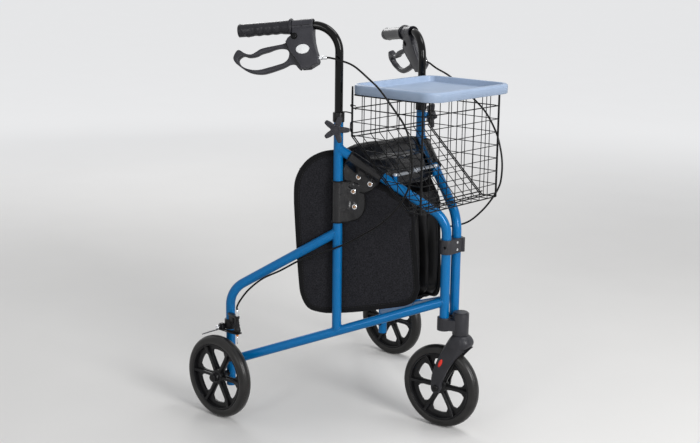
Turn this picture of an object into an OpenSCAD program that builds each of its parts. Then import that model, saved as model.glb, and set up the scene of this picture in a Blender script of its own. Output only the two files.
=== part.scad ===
// Three wheel rollator: two side frames hinged on a swivelling front wheel, with a wire basket,
// a lift-off tray, a bag between the frames and a cable brake on each rear wheel.
// Millimetres. +X is the direction of travel, +Y is the walker's left, +Z is up, the floor is z = 0.

/* [Side frames] */
// Angle of each side frame from the direction of travel
splay = 31; // [26:0.5:36]
// Distance between the axes of the two front tubes
front_gap = 38; // [34:1:44]
// Outside diameter of the frame tubes
tube_d = 22.2; // [20.6:0.1:24]
// Wall of the bent tubes and the lower rail
tube_wall = 1.5; // [1:0.1:2.5]
// Distance along the frame from front tube to main tube
main_back = 254; // [245:1:265]
// Distance along the frame from front tube to rear leg
leg_back = 513; // [490:1:540]
// Height where the sloped front tube would meet the upright without its bend
front_corner_z = 506; // [496:1:516]
// Height where the sloped front tube meets the main tube
upper_join_z = 659; // [645:1:668]
// Height where the rear tube meets the main tube
rear_join_z = 463; // [440:1:475]
// Height where the rear tube would meet the leg without its bend
rear_corner_z = 306; // [300:1:330]
// Height of the lower rail at the leg
rail_leg_z = 130; // [124:1:140]
// Height of the lower rail at the front tube
rail_front_z = 312; // [300:1:325]
// Centre line radius of the frame bends
bend_r = 65; // [50:1:75]
// Top of the main tube
main_top = 738; // [732:1:745]
// Lower end of the rear leg
leg_bottom = 69; // [60:1:80]

/* [Front hinge] */
// Distance of the swivel axis ahead of the front tubes
stem_ahead = 34; // [32:1:40]
// Diameter of the caster stem
stem_d = 12; // [10:0.5:14]
// Underside of the swivel boss
boss_bottom = 236; // [232:1:240]
// Height of the swivel boss
boss_h = 54; // [48:1:60]
// Lower end of the front tube sockets
socket_bottom = 244; // [241:1:250]
// Height of the front tube sockets
socket_h = 30; // [24:1:36]
// Lower face of the upper clamp
clamp_bottom = 426; // [400:1:430]
// Height of the upper clamp
clamp_h = 33; // [26:1:36]

/* [Wheels] */
// Outside diameter of all three wheels
wheel_d = 200; // [192:1:204]
// Width of the tyre
tyre_w = 28; // [24:1:30]
// Radial height of the tyre
tyre_h = 19; // [15:1:22]
// Radial width of the rim ring
rim_h = 15; // [10:1:18]
// Number of spokes
spokes = 6; // [5:1:8]
// Axle diameter
axle_d = 10; // [8:0.5:12]
// Length of the wheel hub
hub_len = 36; // [32:1:38]
// Distance from the leg axis out to the middle of a rear wheel
wheel_out = 38.5; // [37:0.5:46]
// Distance of the caster axle behind the swivel axis
trail = 48; // [42:1:54]
// Turn of the caster at rest
caster_angle = 6; // [-20:1:20]

/* [Handles] */
// Outside diameter of the handle tube
handle_d = 19; // [17:0.1:19.4]
// Wall of the handle tube
handle_wall = 1.5; // [1:0.1:2.5]
// Radial clearance of the handle tube in the main tube
slide_fit = 0.05; // [0.02:0.01:0.1]
// Lower end of the right handle tube
handle_bottom = 520; // [480:1:560]
// Height where the right handle tube starts to bend
handle_bend_z = 878; // [870:1:900]
// Centre line radius of the handle bend
handle_bend_r = 58; // [55:1:62]
// Angle of the handles from the direction of travel
handle_yaw = 28; // [20:1:34]
// Fall of the grip below level
grip_droop = 6; // [0:0.5:10]
// How much lower the left handle is set
left_drop = 32; // [0:1:60]
// Distance from the bend to the grip
grip_start = 45; // [45:1:60]
// Length of the grip
grip_len = 128; // [115:1:140]
// Diameter of the grip
grip_d = 31; // [28:0.5:34]
// Diameter of the flange at the grip's inner end
grip_flange_d = 39; // [36:0.5:42]
// Height of the collar round the top of the main tube
collar_h = 22; // [18:1:24]
// Height of the clamp knob
knob_z = 706; // [694:1:708]
// Radius of the clamp knob over its arms
knob_r = 31; // [26:1:34]

/* [Brakes] */
// Outward tilt of the brake lever about the grip
lever_tilt = 16; // [8:1:24]
// Thickness of the brake lever
lever_t = 11; // [8:0.5:13]
// Width of the lever housing
housing_w = 26; // [24:1:32]
// Diameter of the lever pivot
pivot_d = 6; // [4:0.5:7]
// Diameter of the brake cable
cable_d = 4.5; // [3.5:0.1:6]
// Height of the brake arm's pivot
brake_pivot_z = 217; // [216:1:220]
// Thickness of the brake blade
blade_t = 2.5; // [2:0.5:4]

/* [Basket and tray] */
// Width of the basket
basket_w = 286; // [260:1:300]
// Distance of the basket's front ahead of the front tubes
basket_ahead = 21; // [14:1:30]
// Distance of the basket's back behind the front tubes
basket_behind = 186; // [170:1:190]
// Length of the level floor behind the front tubes
floor_behind = 20; // [14:1:26]
// Underside of the basket floor
basket_floor_z = 537; // [537:1:545]
// Height where the sloped wall meets the upright back wall
slope_top_z = 689; // [670:1:700]
// Top of the basket
basket_top = 786; // [770:1:800]
// Thickness of the basket wire
wire_d = 3; // [2:0.5:4]
// Largest spacing of the basket wires
wire_pitch = 35; // [24:1:40]
// Length of the tray
tray_len = 250; // [235:1:262]
// How far each side of the tray reaches past the basket
tray_lap = 6; // [0:0.5:10]
// Height of the tray
tray_h = 22; // [16:1:30]
// Depth of the tray's recess
tray_depth = 14; // [8:1:15]
// Distance of the tray's back edge behind the front tubes
tray_behind = 194; // [186:1:198]

/* [Bag and brace] */
// Thickness of the bag's side panels
panel_t = 4; // [2:0.5:6]
// Thickness of the bag's soft walls
cloth_t = 3; // [2:0.5:4]
// Distance along the frame from front tube to the brace pivot
brace_back = 122; // [110:1:130]
// Distance of the brace pivot inward from the tube's axis
brace_in = 10; // [9:0.5:11]
// Width of the brace straps
brace_w = 15; // [14:1:16]
// Thickness of the brace straps
brace_t = 3; // [2:0.5:4]

/* [Hidden] */
$fn = 64;

blue = [0.02, 0.32, 0.58];
black = [0.05, 0.05, 0.055];
dark_grey = [0.2, 0.2, 0.22];
silver = [0.75, 0.76, 0.78];
zinc = [0.55, 0.57, 0.6];
tray_grey = [0.56, 0.64, 0.75];
rubber = [0.12, 0.12, 0.12];
red = [0.85, 0.12, 0.08];

// Clearances: running shafts, pieces seated on each other, neighbours that move, welded joints
run_fit = 0.05;
seat_fit = 0.02;
move_gap = 0.4;
weld_gap = 0.02;
// How much slimmer a bend or a strip's middle is drawn than the ends it would be flush with
seam_step = 0.02;

// The hinge line's place ahead of the origin, which is under the middle of the three wheels
hinge_x = (leg_back * cos(splay) - stem_ahead + trail * cos(caster_angle)) / 2;
half_gap = front_gap / 2;
tube_r = tube_d / 2;
wheel_r = wheel_d / 2;
rim_r = wheel_r - tyre_h;
// Where a welded tube's end stops short of the axis of the tube it meets
weld_in = 0.15 * tube_d;
front_rise = atan2(upper_join_z - front_corner_z, main_back);
rear_fall = atan2(rear_join_z - rear_corner_z, leg_back - main_back);
front_tangent = bend_r * tan((90 - front_rise) / 2);
rear_tangent = bend_r * tan((90 - rear_fall) / 2);
leg_x = hinge_x - leg_back * cos(splay);
leg_y = half_gap + leg_back * sin(splay);

// Height of the lower rail's axis and of the sloped front tube's axis at a distance along the frame
function rail_z(along) = rail_front_z + (rail_leg_z - rail_front_z) * along / leg_back;
function slope_z(along) = front_corner_z + (upper_join_z - front_corner_z) * along / main_back;

// Points on a smooth curve through a list of points, closed or open
function curve_point(a, b, c, d, t) =
    0.5 * (2 * b + (c - a) * t + (2 * a - 5 * b + 4 * c - d) * t * t + (3 * b - a - 3 * c + d) * t * t * t);
function smooth_ring(pts, steps) = let (n = len(pts))
    [for (i = [0 : n - 1], k = [0 : steps - 1])
        curve_point(pts[(i + n - 1) % n], pts[i], pts[(i + 1) % n], pts[(i + 2) % n], k / steps)];
function smooth_path(pts, steps) = let (n = len(pts))
    concat([for (i = [0 : n - 2], k = [0 : steps - 1])
        curve_point(pts[max(i - 1, 0)], pts[i], pts[i + 1], pts[min(i + 2, n - 1)], k / steps)], [pts[n - 1]]);

// A round bar between two points
module rod(from, to, d) {
    v = to - from;
    translate(from)
        rotate([0, acos(v[2] / norm(v)), atan2(v[1], v[0])])
            cylinder(d = d, h = norm(v));
}

// A bend of a round bar about the Z axis, drawn a hair slimmer than the straights it joins
module bend(angle, r, d) {
    rotate_extrude(angle = angle)
        translate([r, 0])
            circle(d = d - seam_step);
}

// A flat bar between two points of a plane, with square ends past the points
module bar(from, to, w) {
    v = to - from;
    translate(from)
        rotate(atan2(v[1], v[0]))
            translate([-w / 2, -w / 2])
                square([norm(v) + w, w]);
}

// A strip with round ends between two points of a plane
module strip(from, to, w) {
    v = to - from;
    for (p = [from, to])
        translate(p)
            circle(d = w);
    translate(from)
        rotate(atan2(v[1], v[0]))
            translate([0, -(w - seam_step) / 2])
                square([norm(v), w - seam_step]);
}

// A rectangle with round corners, centred
module round_rect(size, r) {
    square([size[0] - 2 * r, size[1]], center = true);
    square([size[0], size[1] - 2 * r], center = true);
    for (x = [-1, 1], y = [-1, 1])
        translate([x * (size[0] / 2 - r), y * (size[1] / 2 - r)])
            circle(r = r);
}

// A plate standing in the local XZ plane, its thickness centred on Y
module upright(t) {
    rotate([90, 0, 0])
        linear_extrude(t, center = true)
            children();
}

// Places: a side frame (X back along the frame, Y outward), a handle, a grip, a leg (X forward, Y outward)
module right_side() {
    translate([hinge_x, -half_gap, 0])
        rotate(180 + splay)
            children();
}
module left_side() {
    mirror([0, 1, 0])
        right_side()
            children();
}
module handle_place() {
    translate([main_back, 0, 0])
        rotate(handle_yaw - splay)
            children();
}
module right_handle() {
    right_side()
        handle_place()
            children();
}
module left_handle() {
    translate([0, 0, -left_drop])
        left_side()
            handle_place()
                children();
}
grip_origin = [handle_bend_r * (1 + sin(grip_droop)), 0, handle_bend_z + handle_bend_r * cos(grip_droop)];
module grip_place(tilt = 0) {
    translate(grip_origin)
        rotate([0, grip_droop, 0])
            rotate([tilt, 0, 0])
                children();
}
module right_leg() {
    translate([leg_x, -leg_y, 0])
        mirror([0, 1, 0])
            children();
}
module left_leg() {
    translate([leg_x, leg_y, 0])
        children();
}
module caster_place() {
    translate([hinge_x + stem_ahead, 0, 0])
        rotate(caster_angle)
            children();
}

// Frame tubes. Each path is drawn once at the outside diameter and once at the bore.
front_tube_bottom = socket_bottom + 5;
module front_path(d) {
    translate([0, 0, front_tube_bottom])
        cylinder(d = d, h = front_corner_z - front_tangent - front_tube_bottom);
    translate([bend_r, 0, front_corner_z - front_tangent])
        rotate([90, 0, 0])
            rotate(90 + front_rise)
                bend(90 - front_rise, bend_r, d);
    start = front_tangent * cos(front_rise);
    rod([start, 0, slope_z(start)], [main_back - weld_in, 0, slope_z(main_back - weld_in)], d);
}
module front_tube_shape() {
    difference() {
        union() {
            front_path(tube_d);
            translate([brace_back, -brace_in, slope_z(brace_back)])
                cylinder(d = brace_boss_d, h = brace_z - move_gap - slope_z(brace_back));
        }
        front_path(tube_d - 2 * tube_wall);
        translate([brace_back, -brace_in, brace_z - brace_pin_h])
            cylinder(r = brace_pin_d / 2 + run_fit, h = 2 * brace_pin_h);
        translate([main_back, 0, upper_join_z - 2 * tube_d])
            cylinder(r = tube_r + weld_gap, h = 4 * tube_d);
    }
}
function rear_z(along) = rear_join_z - (rear_join_z - rear_corner_z) * (along - main_back) / (leg_back - main_back);
module rear_path(d) {
    translate([leg_back, 0, leg_bottom])
        cylinder(d = d, h = rear_corner_z - rear_tangent - leg_bottom);
    translate([leg_back - bend_r, 0, rear_corner_z - rear_tangent])
        rotate([90, 0, 0])
            bend(90 - rear_fall, bend_r, d);
    bend_end = leg_back - rear_tangent * cos(rear_fall);
    rod([main_back + weld_in, 0, rear_z(main_back + weld_in)], [bend_end, 0, rear_z(bend_end)], d);
}
module rear_tube_shape() {
    difference() {
        rear_path(tube_d);
        rear_path(tube_d - 2 * tube_wall);
        translate([main_back, 0, rear_join_z - 2 * tube_d])
            cylinder(r = tube_r + weld_gap, h = 4 * tube_d);
        translate([leg_back, 0, wheel_r])
            rotate(-splay)
                rotate([90, 0, 0])
                    cylinder(d = axle_d + 2 * seat_fit, h = 4 * tube_d, center = true);
    }
}
module lower_rail_shape() {
    ends = [[weld_in, 0, rail_z(weld_in)], [leg_back - weld_in, 0, rail_z(leg_back - weld_in)]];
    difference() {
        rod(ends[0], ends[1], tube_d);
        rod(ends[0], ends[1], tube_d - 2 * tube_wall);
        for (along = [0, leg_back])
            translate([along, 0, rail_z(along) - 2 * tube_d])
                cylinder(r = tube_r + weld_gap, h = 4 * tube_d);
    }
}
boss_out = tube_r + 7;
knob_boss_d = 16;
// How far each way a cut for the lower rail runs past the main tube
saddle_run = 60;
module main_tube_shape() {
    low = rail_z(main_back);
    difference() {
        union() {
            translate([main_back, 0, low])
                cylinder(d = tube_d, h = main_top - low);
            translate([main_back, 0, knob_z])
                rotate([-90, 0, 0])
                    cylinder(d = knob_boss_d, h = boss_out);
        }
        translate([main_back, 0, low - tube_d])
            cylinder(r = handle_d / 2 + slide_fit, h = main_top - low + 2 * tube_d);
        translate([main_back, 0, knob_z])
            rotate([-90, 0, 0])
                cylinder(r = stud_d / 2 + run_fit, h = boss_out + 1);
        rod([main_back - saddle_run, 0, rail_z(main_back - saddle_run)],
            [main_back + saddle_run, 0, rail_z(main_back + saddle_run)], tube_d + 2 * weld_gap);
    }
}
collar_r = tube_r + 2.4;
collar_lip = 4;
module collar_shape() {
    translate([main_back, 0, main_top + collar_lip - collar_h])
        difference() {
            cylinder(r = collar_r, h = collar_h);
            translate([0, 0, -1])
                cylinder(r = tube_r + seat_fit, h = collar_h - collar_lip + 1 + seat_fit);
            cylinder(r = handle_d / 2 + 6 * slide_fit, h = collar_h + 1);
        }
}

// Clamp knob: a star on a stud that bears on the handle tube
stud_d = 6;
knob_arm_t = 10;
module knob_shape() {
    arm_tip = 4;
    translate([main_back, 0, knob_z])
        rotate([-90, 0, 0]) {
            translate([0, 0, handle_d / 2 + move_gap])
                cylinder(d = stud_d, h = boss_out - handle_d / 2 + 4);
            translate([0, 0, boss_out + move_gap]) {
                cylinder(r = 12, h = knob_arm_t + 7);
                translate([0, 0, 5])
                    linear_extrude(knob_arm_t)
                        for (k = [0 : 4])
                            rotate(180 + 72 * k) {
                                polygon([[4, -9], [12, -7], [knob_r - arm_tip, -arm_tip],
                                         [knob_r - arm_tip, arm_tip], [12, 7], [4, 9]]);
                                translate([knob_r - arm_tip, 0])
                                    circle(r = arm_tip);
                            }
            }
        }
}

// Handles
grip_end = grip_start + grip_len;
module handle_path(d, past) {
    translate([0, 0, handle_bottom - past])
        cylinder(d = d, h = handle_bend_z - handle_bottom + past);
    translate([handle_bend_r, 0, handle_bend_z])
        rotate([90, 0, 0])
            rotate(90 - grip_droop)
                bend(90 + grip_droop, handle_bend_r, d);
    grip_place()
        rotate([0, 90, 0])
            cylinder(d = d, h = grip_end - 6 + past);
}
module handle_tube_shape() {
    difference() {
        handle_path(handle_d, 0);
        handle_path(handle_d - 2 * handle_wall, 1);
    }
}
module grip_shape() {
    bore_r = handle_d / 2 + seat_fit;
    r = grip_d / 2;
    flange_r = grip_flange_d / 2;
    grip_place()
        rotate([0, 90, 0])
            rotate_extrude()
                polygon([[bore_r, grip_start], [flange_r - 1, grip_start], [flange_r, grip_start + 1.5],
                         [flange_r, grip_start + 4.5], [flange_r - 1, grip_start + 6], [r + 1.6, grip_start + 7],
                         [r + 0.4, grip_start + 18], [r, grip_start + 30], [r, grip_end - 3], [r - 3, grip_end],
                         [0, grip_end], [0, grip_end - 5], [bore_r, grip_end - 5]]);
}

// Brake lever housing: two cheeks and a front wall hanging from a clamp ring, X along the grip, Z up
housing_outline = [[44, -4], [-5, -4], [-4.5, -20], [-6, -38], [-10, -57], [-13.5, -68], [-15.5, -83],
                   [-14, -88], [7, -99], [24.5, -99], [27, -91], [39, -72], [51, -56], [54.5, -48],
                   [57.5, -38], [58.5, -33.5], [55, -27], [44, -19]];
lever_pivot = [38.5, -24];
ring_r = handle_d / 2 + 5.5;
pocket_t = lever_t + 2 * move_gap;
adjuster_at = [-13.2, -76];
adjuster_len = 18;
adjuster_d = 7;
adjuster_end = adjuster_at[0] + 6 - adjuster_len;
module housing_shape() {
    difference() {
        grip_place(lever_tilt) {
            upright(housing_w)
                polygon(housing_outline);
            translate([-5, 0, 0])
                rotate([0, 90, 0])
                    cylinder(r = ring_r, h = grip_start - seat_fit + 5);
        }
        handle_path(handle_d + 2 * run_fit, 0);
        grip_place(lever_tilt) {
            upright(pocket_t)
                polygon([[18, -15.5], [66, -15.5], [66, -110], [2, -110], [2, -50]]);
            translate([lever_pivot[0], 0, lever_pivot[1]])
                rotate([90, 0, 0])
                    cylinder(r = pivot_d / 2 + seat_fit, h = 2 * housing_w, center = true);
            translate([adjuster_at[0] - 4, 0, adjuster_at[1]])
                rotate([0, 90, 0])
                    cylinder(d = adjuster_d + 2 * seat_fit, h = 12);
        }
    }
}
module handle_fittings_shape() {
    grip_place(lever_tilt) {
        translate([lever_pivot[0], 0, lever_pivot[1]])
            rotate([90, 0, 0]) {
                cylinder(d = pivot_d, h = housing_w + 2, center = true);
                for (side = [-1, 1])
                    translate([0, 0, side * (housing_w / 2 + 1 + seat_fit)])
                        cylinder(d = 10, h = 2, center = true);
            }
        translate([adjuster_end, 0, adjuster_at[1]])
            rotate([0, 90, 0]) {
                cylinder(d = adjuster_d, h = adjuster_len);
                translate([0, 0, 4])
                    cylinder(d = adjuster_d + 2, h = 5);
            }
    }
}

// Brake lever: a root in the housing's pocket and a closed finger loop
lever_outer = [[44, -18], [54, -28], [66, -37.5], [100, -42], [120, -45.5], [131, -51], [142, -56], [153, -55],
               [163, -50.5], [173, -44], [180, -47.5], [187, -61], [183, -72], [173, -81.5], [158, -93],
               [144, -100], [125, -104], [106, -103], [68, -93.5], [52, -87], [40, -88], [33, -96], [27, -101],
               [23, -92], [26, -60], [30, -24], [36, -17]];
lever_inner = [[54, -60], [60, -51.5], [73, -48.5], [88, -50], [101, -54], [120, -58], [132, -63], [149, -64],
               [162, -60], [172, -65], [174, -71], [170, -79], [160, -86], [148, -90.5], [134, -93],
               [120, -92.5], [101, -89], [82, -85], [67, -81], [57, -73]];
module lever_shape() {
    grip_place(lever_tilt)
        difference() {
            upright(lever_t)
                difference() {
                    polygon(smooth_ring(lever_outer, 3));
                    polygon(smooth_ring(lever_inner, 3));
                }
            translate([lever_pivot[0], 0, lever_pivot[1]])
                rotate([90, 0, 0])
                    cylinder(r = pivot_d / 2 + run_fit, h = 2 * lever_t, center = true);
        }
}

// Rear brake, placed at the leg: a bracket round the leg, and a blade that rocks above the tyre
brake_pivot_x = -12;
bracket_bottom = brake_pivot_z - 9;
bracket_h = 38;
bracket_r = tube_r + 5;
ear_out = [bracket_r - 4, wheel_out - tyre_w / 2 - 1.5];
wire_at = [40, bracket_r];
stop_z = bracket_bottom + bracket_h - 2;
stop_t = 9;
module brake_bracket_shape() {
    difference() {
        union() {
            translate([0, 0, bracket_bottom])
                cylinder(r = bracket_r, h = bracket_h);
            translate([brake_pivot_x - 9, ear_out[0], bracket_bottom])
                cube([18, ear_out[1] - ear_out[0], 20]);
            translate([0, 0, stop_z])
                linear_extrude(stop_t)
                    strip([0, 4], wire_at, 15);
            translate([0, 0, stop_z - 12])
                linear_extrude(12)
                    strip([6, 6], wire_at - [16, 3], 9);
        }
        translate([0, 0, bracket_bottom - 1])
            cylinder(r = tube_r + seat_fit, h = 2 * bracket_h);
        translate([brake_pivot_x, 0, brake_pivot_z])
            rotate([-90, 0, 0])
                cylinder(r = pivot_d / 2 + run_fit, h = 2 * ear_out[1]);
        translate([wire_at[0], wire_at[1], stop_z - 1])
            cylinder(d = 3, h = stop_t + 2);
    }
}
blade_out = [ear_out[1] + move_gap, wheel_out + tyre_w / 2 - 5];
// The finger passes outside the bracket and widens inward ahead of it, to take the cable's wire
finger_out = [wire_at[1] - 7, bracket_r + 1];
clear_x = bracket_r - brake_pivot_x + 2;
finger_end = wire_at[0] - brake_pivot_x + 8;
blade_tip = [-55, -24];
module brake_arm_shape() {
    translate([brake_pivot_x, 0, brake_pivot_z]) {
        rotate([-90, 0, 0])
            translate([0, 0, ear_out[0] + 2])
                cylinder(d = pivot_d, h = blade_out[1] - ear_out[0] - 2);
        translate([0, (blade_out[0] + blade_out[1]) / 2, 0])
            upright(blade_out[1] - blade_out[0]) {
                circle(r = pivot_d / 2 + 2.5);
                bar([-2, -5], blade_tip - [brake_pivot_x, -1], blade_t);
                bar([2, -5], [14, -5], blade_t);
            }
        difference() {
            translate([0, 0, -5 - blade_t / 2])
                linear_extrude(blade_t)
                    polygon([[10, finger_out[1]], [10, blade_out[0] + 6], [finger_end, blade_out[0] + 6],
                             [finger_end, finger_out[0]], [clear_x, finger_out[0]], [clear_x, finger_out[1]]]);
            translate([wire_at[0] - brake_pivot_x, wire_at[1], -20])
                cylinder(d = 5, h = 40);
        }
    }
}

// The cable's end sleeve and its wire, placed at the leg
sleeve_h = 15;
wire_reach = 62;
wire_end_d = 1.6;
module leg_fittings_shape() {
    translate([wire_at[0], wire_at[1], stop_z + stop_t + seat_fit])
        cylinder(d = 7, h = sleeve_h);
    translate([wire_at[0], wire_at[1], stop_z - wire_reach])
        cylinder(d = wire_end_d, h = wire_reach + stop_t + 2 * seat_fit);
}

// Axle of a rear wheel, with a spacer against the leg and a nut inside
module axle_shape() {
    hub_in = wheel_out - hub_len / 2;
    translate([0, 0, wheel_r])
        rotate([-90, 0, 0]) {
            translate([0, 0, -tube_r - 9])
                cylinder(d = axle_d, h = tube_r + 9 + wheel_out + hub_len / 2 + 3);
            translate([0, 0, -tube_r - 7])
                cylinder(d = 17, h = 6, $fn = 6);
            translate([0, 0, tube_r + move_gap])
                cylinder(d = axle_d + 6, h = hub_in - tube_r - 2 * move_gap);
            translate([0, 0, wheel_out + hub_len / 2 + move_gap])
                cylinder(d = axle_d + 6, h = 3);
        }
}

// Wheels, about their own centre with the axle along Y
module wheel_rim() {
    rotate([90, 0, 0])
        difference() {
            union() {
                rotate_extrude()
                    translate([rim_r - rim_h, -tyre_w / 2 + 2])
                        square([rim_h, tyre_w - 4]);
                cylinder(r = 17, h = hub_len, center = true);
                for (k = [0 : spokes - 1])
                    rotate(k * 360 / spokes)
                        translate([0, -6, -7])
                            cube([rim_r - rim_h / 2, 12, 14]);
            }
            cylinder(r = axle_d / 2 + run_fit, h = 2 * hub_len, center = true);
        }
}
module tyre() {
    crown_r = tyre_w / 2 + 2;
    rotate([90, 0, 0])
        rotate_extrude()
            intersection() {
                translate([rim_r + seat_fit, -tyre_w / 2])
                    square([tyre_h, tyre_w]);
                translate([wheel_r - crown_r, 0])
                    circle(r = crown_r);
            }
}
module rear_wheel_place() {
    translate([0, wheel_out, wheel_r])
        children();
}
module caster_wheel_place() {
    caster_place()
        translate([-trail, 0, wheel_r])
            children();
}

// Caster fork, X forward from the swivel axis: a hood over the tyre, two arms and the stem
crown_z = boss_bottom - move_gap;
arm_in = hub_len / 2 + 1;
arm_t = 7;
module fork_shape() {
    difference() {
        union() {
            for (side = [-1, 1])
                translate([0, side * (arm_in + arm_t / 2), 0])
                    upright(arm_t)
                        polygon([[-16, crown_z], [-25, crown_z - 18], [-45, crown_z - 61],
                                 [-trail - 11, wheel_r + 36], [-trail - 14, wheel_r + 6],
                                 [-trail - 12, wheel_r - 8], [-trail - 4, wheel_r - 14],
                                 [-trail + 6, wheel_r - 12], [-trail + 13, wheel_r], [-trail + 15, wheel_r + 14],
                                 [-20, crown_z - 89], [0, crown_z - 58], [20, crown_z - 38], [36, crown_z - 24],
                                 [32, crown_z - 8], [20, crown_z]]);
            upright(2 * arm_in)
                polygon([[-16, crown_z], [-25, crown_z - 18], [-30, crown_z - 29], [28, crown_z - 29],
                         [36, crown_z - 24], [32, crown_z - 8], [20, crown_z]]);
            translate([0, 0, crown_z - 10])
                cylinder(d = stem_d, h = boss_h - 2);
        }
        translate([-trail, 0, wheel_r])
            rotate([90, 0, 0])
                cylinder(r = axle_d / 2 + seat_fit, h = 4 * hub_len, center = true);
    }
}
module caster_axle_shape() {
    translate([-trail, 0, wheel_r])
        rotate([90, 0, 0]) {
            cylinder(d = axle_d, h = 2 * (arm_in + arm_t) + 2, center = true);
            for (side = [-1, 1])
                translate([0, 0, side * (arm_in + arm_t + seat_fit + 2)])
                    cylinder(d = axle_d + 6, h = 4, center = true);
        }
}
module reflectors_shape() {
    for (side = [-1, 1])
        translate([0, side * (arm_in + arm_t + seat_fit + 0.75), 0])
            upright(1.5)
                strip([-41, crown_z - 80], [-33, crown_z - 62], 10);
}

// Hinge pieces about the front tubes, X forward from the hinge line
module lower_bracket_shape() {
    socket_r = tube_r + 5;
    boss_r = stem_d / 2 + 13;
    difference() {
        union() {
            translate([stem_ahead, 0, boss_bottom]) {
                cylinder(r = boss_r, h = boss_h - 3);
                cylinder(r = boss_r - 3, h = boss_h);
            }
            for (side = [-1, 1])
                translate([0, side * half_gap, socket_bottom])
                    cylinder(r = socket_r, h = socket_h);
            translate([0, 0, socket_bottom + 2])
                linear_extrude(socket_h - 5)
                    polygon([[-6, -half_gap - socket_r + 1.5], [8, -half_gap - socket_r + 1.5],
                             [stem_ahead, -boss_r + 1], [stem_ahead, boss_r - 1],
                             [8, half_gap + socket_r - 1.5], [-6, half_gap + socket_r - 1.5]]);
        }
        for (side = [-1, 1])
            translate([0, side * half_gap, front_tube_bottom - move_gap])
                cylinder(r = tube_r + run_fit, h = 2 * socket_h);
        translate([stem_ahead, 0, boss_bottom - 1])
            cylinder(r = stem_d / 2 + run_fit, h = boss_h - 7);
    }
}
clamp_r = tube_r + 4.5;
module upper_clamp_shape() {
    difference() {
        union() {
            translate([0, 0, clamp_bottom])
                linear_extrude(clamp_h) {
                    strip([0, -half_gap], [0, half_gap], 2 * clamp_r);
                    translate([0, half_gap])
                        strip([0, 0], [14, 6], 10);
                }
        }
        for (side = [-1, 1])
            translate([0, side * half_gap, clamp_bottom - 1])
                cylinder(r = tube_r + run_fit, h = clamp_h + 2);
        translate([6, -half_gap, clamp_bottom + clamp_h / 2])
            rotate([90, 0, 0])
                cylinder(d = 7, h = 2 * clamp_r);
    }
}
module hinge_rivets_shape() {
    for (z = [0.26, 0.78])
        translate([clamp_r + seat_fit, 1, clamp_bottom + z * clamp_h])
            rotate([0, 90, 0])
                cylinder(d = 6, h = 1.5);
}

// Folding brace: two straps across the sloped tubes, each turning on a pin in a boss of its tube
brace_z = slope_z(brace_back) + tube_r / cos(front_rise) + 7;
brace_len = half_gap + brace_back * sin(splay) - brace_in * cos(splay);
brace_boss_d = 13;
brace_pin_d = 7;
brace_pin_h = 6;
brace_head_h = 2;
module brace_link_shape(level) {
    z = brace_z + level * (brace_t + move_gap);
    pin_low = brace_z - brace_pin_h + move_gap;
    translate([brace_back, -brace_in, 0]) {
        rotate(-90 - splay)
            translate([0, 0, z])
                linear_extrude(brace_t)
                    strip([0, 0], [brace_len, 0], brace_w);
        translate([0, 0, pin_low])
            cylinder(d = brace_pin_d, h = z - pin_low + brace_t);
        for (along = level > 0 ? [0, brace_len] : [0])
            rotate(-90 - splay)
                translate([along, 0, z + brace_t])
                    cylinder(d = brace_pin_d + 4, h = brace_head_h);
    }
}

// Basket walls, X forward from the hinge line. Each wall is a flat grid of square wire.
wall_gap = 0.1;
slope_run = basket_behind - floor_behind;
slope_angle = atan2(slope_top_z - basket_floor_z, slope_run);
slope_len = norm([slope_run, slope_top_z - basket_floor_z]);
inner_w = basket_w - 2 * wire_d - 2 * wall_gap;
// Where the sloped wall stops, so that its upper face just clears the floor
floor_clear = wire_d * tan(slope_angle) + wall_gap;
module grid(w, h) {
    columns = ceil((w - wire_d) / wire_pitch);
    rows = ceil((h - wire_d) / wire_pitch);
    for (i = [0 : columns])
        translate([i * (w - wire_d) / columns, 0])
            square([wire_d, h]);
    for (i = [0 : rows])
        translate([0, i * (h - wire_d) / rows])
            square([w, wire_d]);
}
module basket_front_shape() {
    translate([basket_ahead - wire_d, -inner_w / 2, basket_floor_z])
        rotate([90, 0, 90])
            linear_extrude(wire_d)
                grid(inner_w, basket_top - basket_floor_z);
}
module basket_back_shape() {
    translate([-basket_behind, -inner_w / 2, slope_top_z])
        rotate([90, 0, 90])
            linear_extrude(wire_d)
                grid(inner_w, basket_top - slope_top_z);
}
module basket_floor_shape() {
    translate([-floor_behind + wall_gap, -inner_w / 2, basket_floor_z])
        linear_extrude(wire_d)
            grid(floor_behind + basket_ahead - wire_d - 2 * wall_gap, inner_w);
}
module basket_slope_shape() {
    translate([-floor_behind, -inner_w / 2, basket_floor_z])
        rotate([0, slope_angle, 0])
            translate([-slope_len + wire_d, 0, 0])
                linear_extrude(wire_d)
                    grid(slope_len - wire_d - floor_clear, inner_w);
}
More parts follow.
